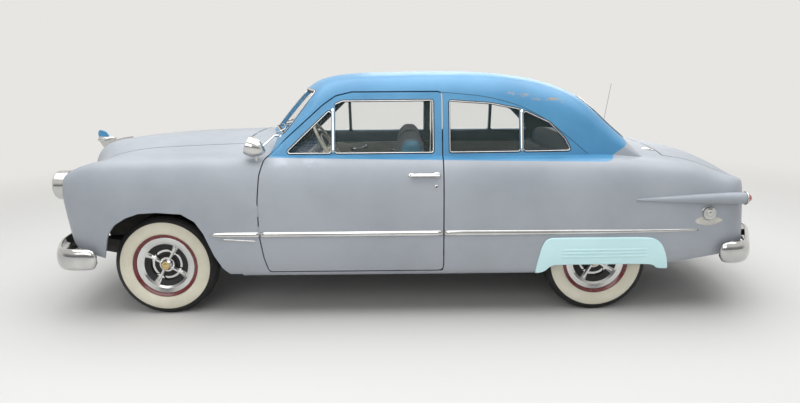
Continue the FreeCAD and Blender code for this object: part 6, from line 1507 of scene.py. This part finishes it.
for name, (y, wide, tall) in DIALS.items():
    outline = plate_outline(y, DASH_Z, wide, tall, min(wide, tall) * 0.8)
    points = [on_dash(mark.x - way.x * inset, mark.y - way.y * inset, out)
              for inset, out in BEZEL for mark, way in outline]
    new_piece(name + "_bezel", points, ring_faces(5, len(outline)), (chrome,), "body", "chrome")
    points = [on_dash(mark.x - way.x * 0.006, mark.y - way.y * 0.006, out)
              for out in (0.0005, 0.0022) for mark, way in outline]
    new_piece(name, points, capped_faces(2, len(outline)),
              (dial if name == "speedometer" else navy_vinyl,), "body", "dash_paint", False)
places = [on_dash(between(-STRIP_Y, STRIP_Y, k / 30), STRIP_Z, 0.0) for k in range(31)]
new_piece("dash_strip", *swept(places, [Vector((1, 0, 0))] * 31, half_round(0.005, 0.004), False),
          (chrome,), "body", "chrome")
outline = plate_outline(0.0, 0.0, MIRROR_HALF, MIRROR_TALL, 0.020)
points = [MIRROR_MIDDLE + Vector((out, mark.x - way.x * inset, mark.y - way.y * inset))
          for inset, out in MIRROR_RINGS for mark, way in outline]
new_piece("mirror", points, capped_faces(5, len(outline)), (chrome,), "body", "chrome")
roof_z = inside_skin.ray_cast(MIRROR_MIDDLE, Vector((0, 0, 1)))[0].z
tube("mirror_stem", [MIRROR_MIDDLE + Vector((-0.010, 0, 0.0)),
                     MIRROR_MIDDLE + Vector((-0.020, 0, 0.03)),
                     Vector((STEM_X, 0, roof_z - STEM_GAP))], 0.006, chrome, "body", "chrome")
tube("gear_lever", GEAR_LEVER, 0.0055, chrome, "body", "chrome")
tube("gear_knob", [GEAR_LEVER[-1] + Vector((0.0015, 0.002, 0.002)) * k for k in range(9)], 0.011,
     cream_plastic, "body", "steering_cream", 16, [0.35, 0.8, 1.0, 1.05, 1.05, 1.0, 0.9, 0.7, 0.3])

# The carpet: dark grey loop pile, laid loose on the floor between the sills and over
# the tunnel.
CARPET_FRONT, CARPET_LONG, CARPET_HALF, CARPET_GRID = -1.060, 1.480, 0.66, (60, 50)
CARPET_GAP, BARE_FLOOR, ABOVE_FLOOR, MEASURED_ROW = 0.006, 0.395, 0.70, 10
carpet = finish_of("carpet_pile", [(0.020, 0.022, 0.026), (0.045, 0.047, 0.052)], 120.0,
                   (0.85, 0.98), grain=900.0, depth=0.002)
floor_skin = skin_of(["floor_pan"])
long_, wide = CARPET_GRID
points = []
for i in range(long_ + 1):
    x = CARPET_FRONT + CARPET_LONG * i / long_
    for j in range(wide + 1):
        y = CARPET_HALF * (2 * j / wide - 1)
        point = floor_skin.ray_cast(Vector((x, y, ABOVE_FLOOR)), Vector((0, 0, -1)))[0]
        points.append(Vector((x, y, (point.z if point else BARE_FLOOR) + CARPET_GAP)))
carpet_piece = new_piece("floor_carpet", points, sheet_faces(long_, wide), (carpet,), "body",
                         "chassis_black")
row = wide + 1
across = length_of(points[MEASURED_ROW * row:(MEASURED_ROW + 1) * row])
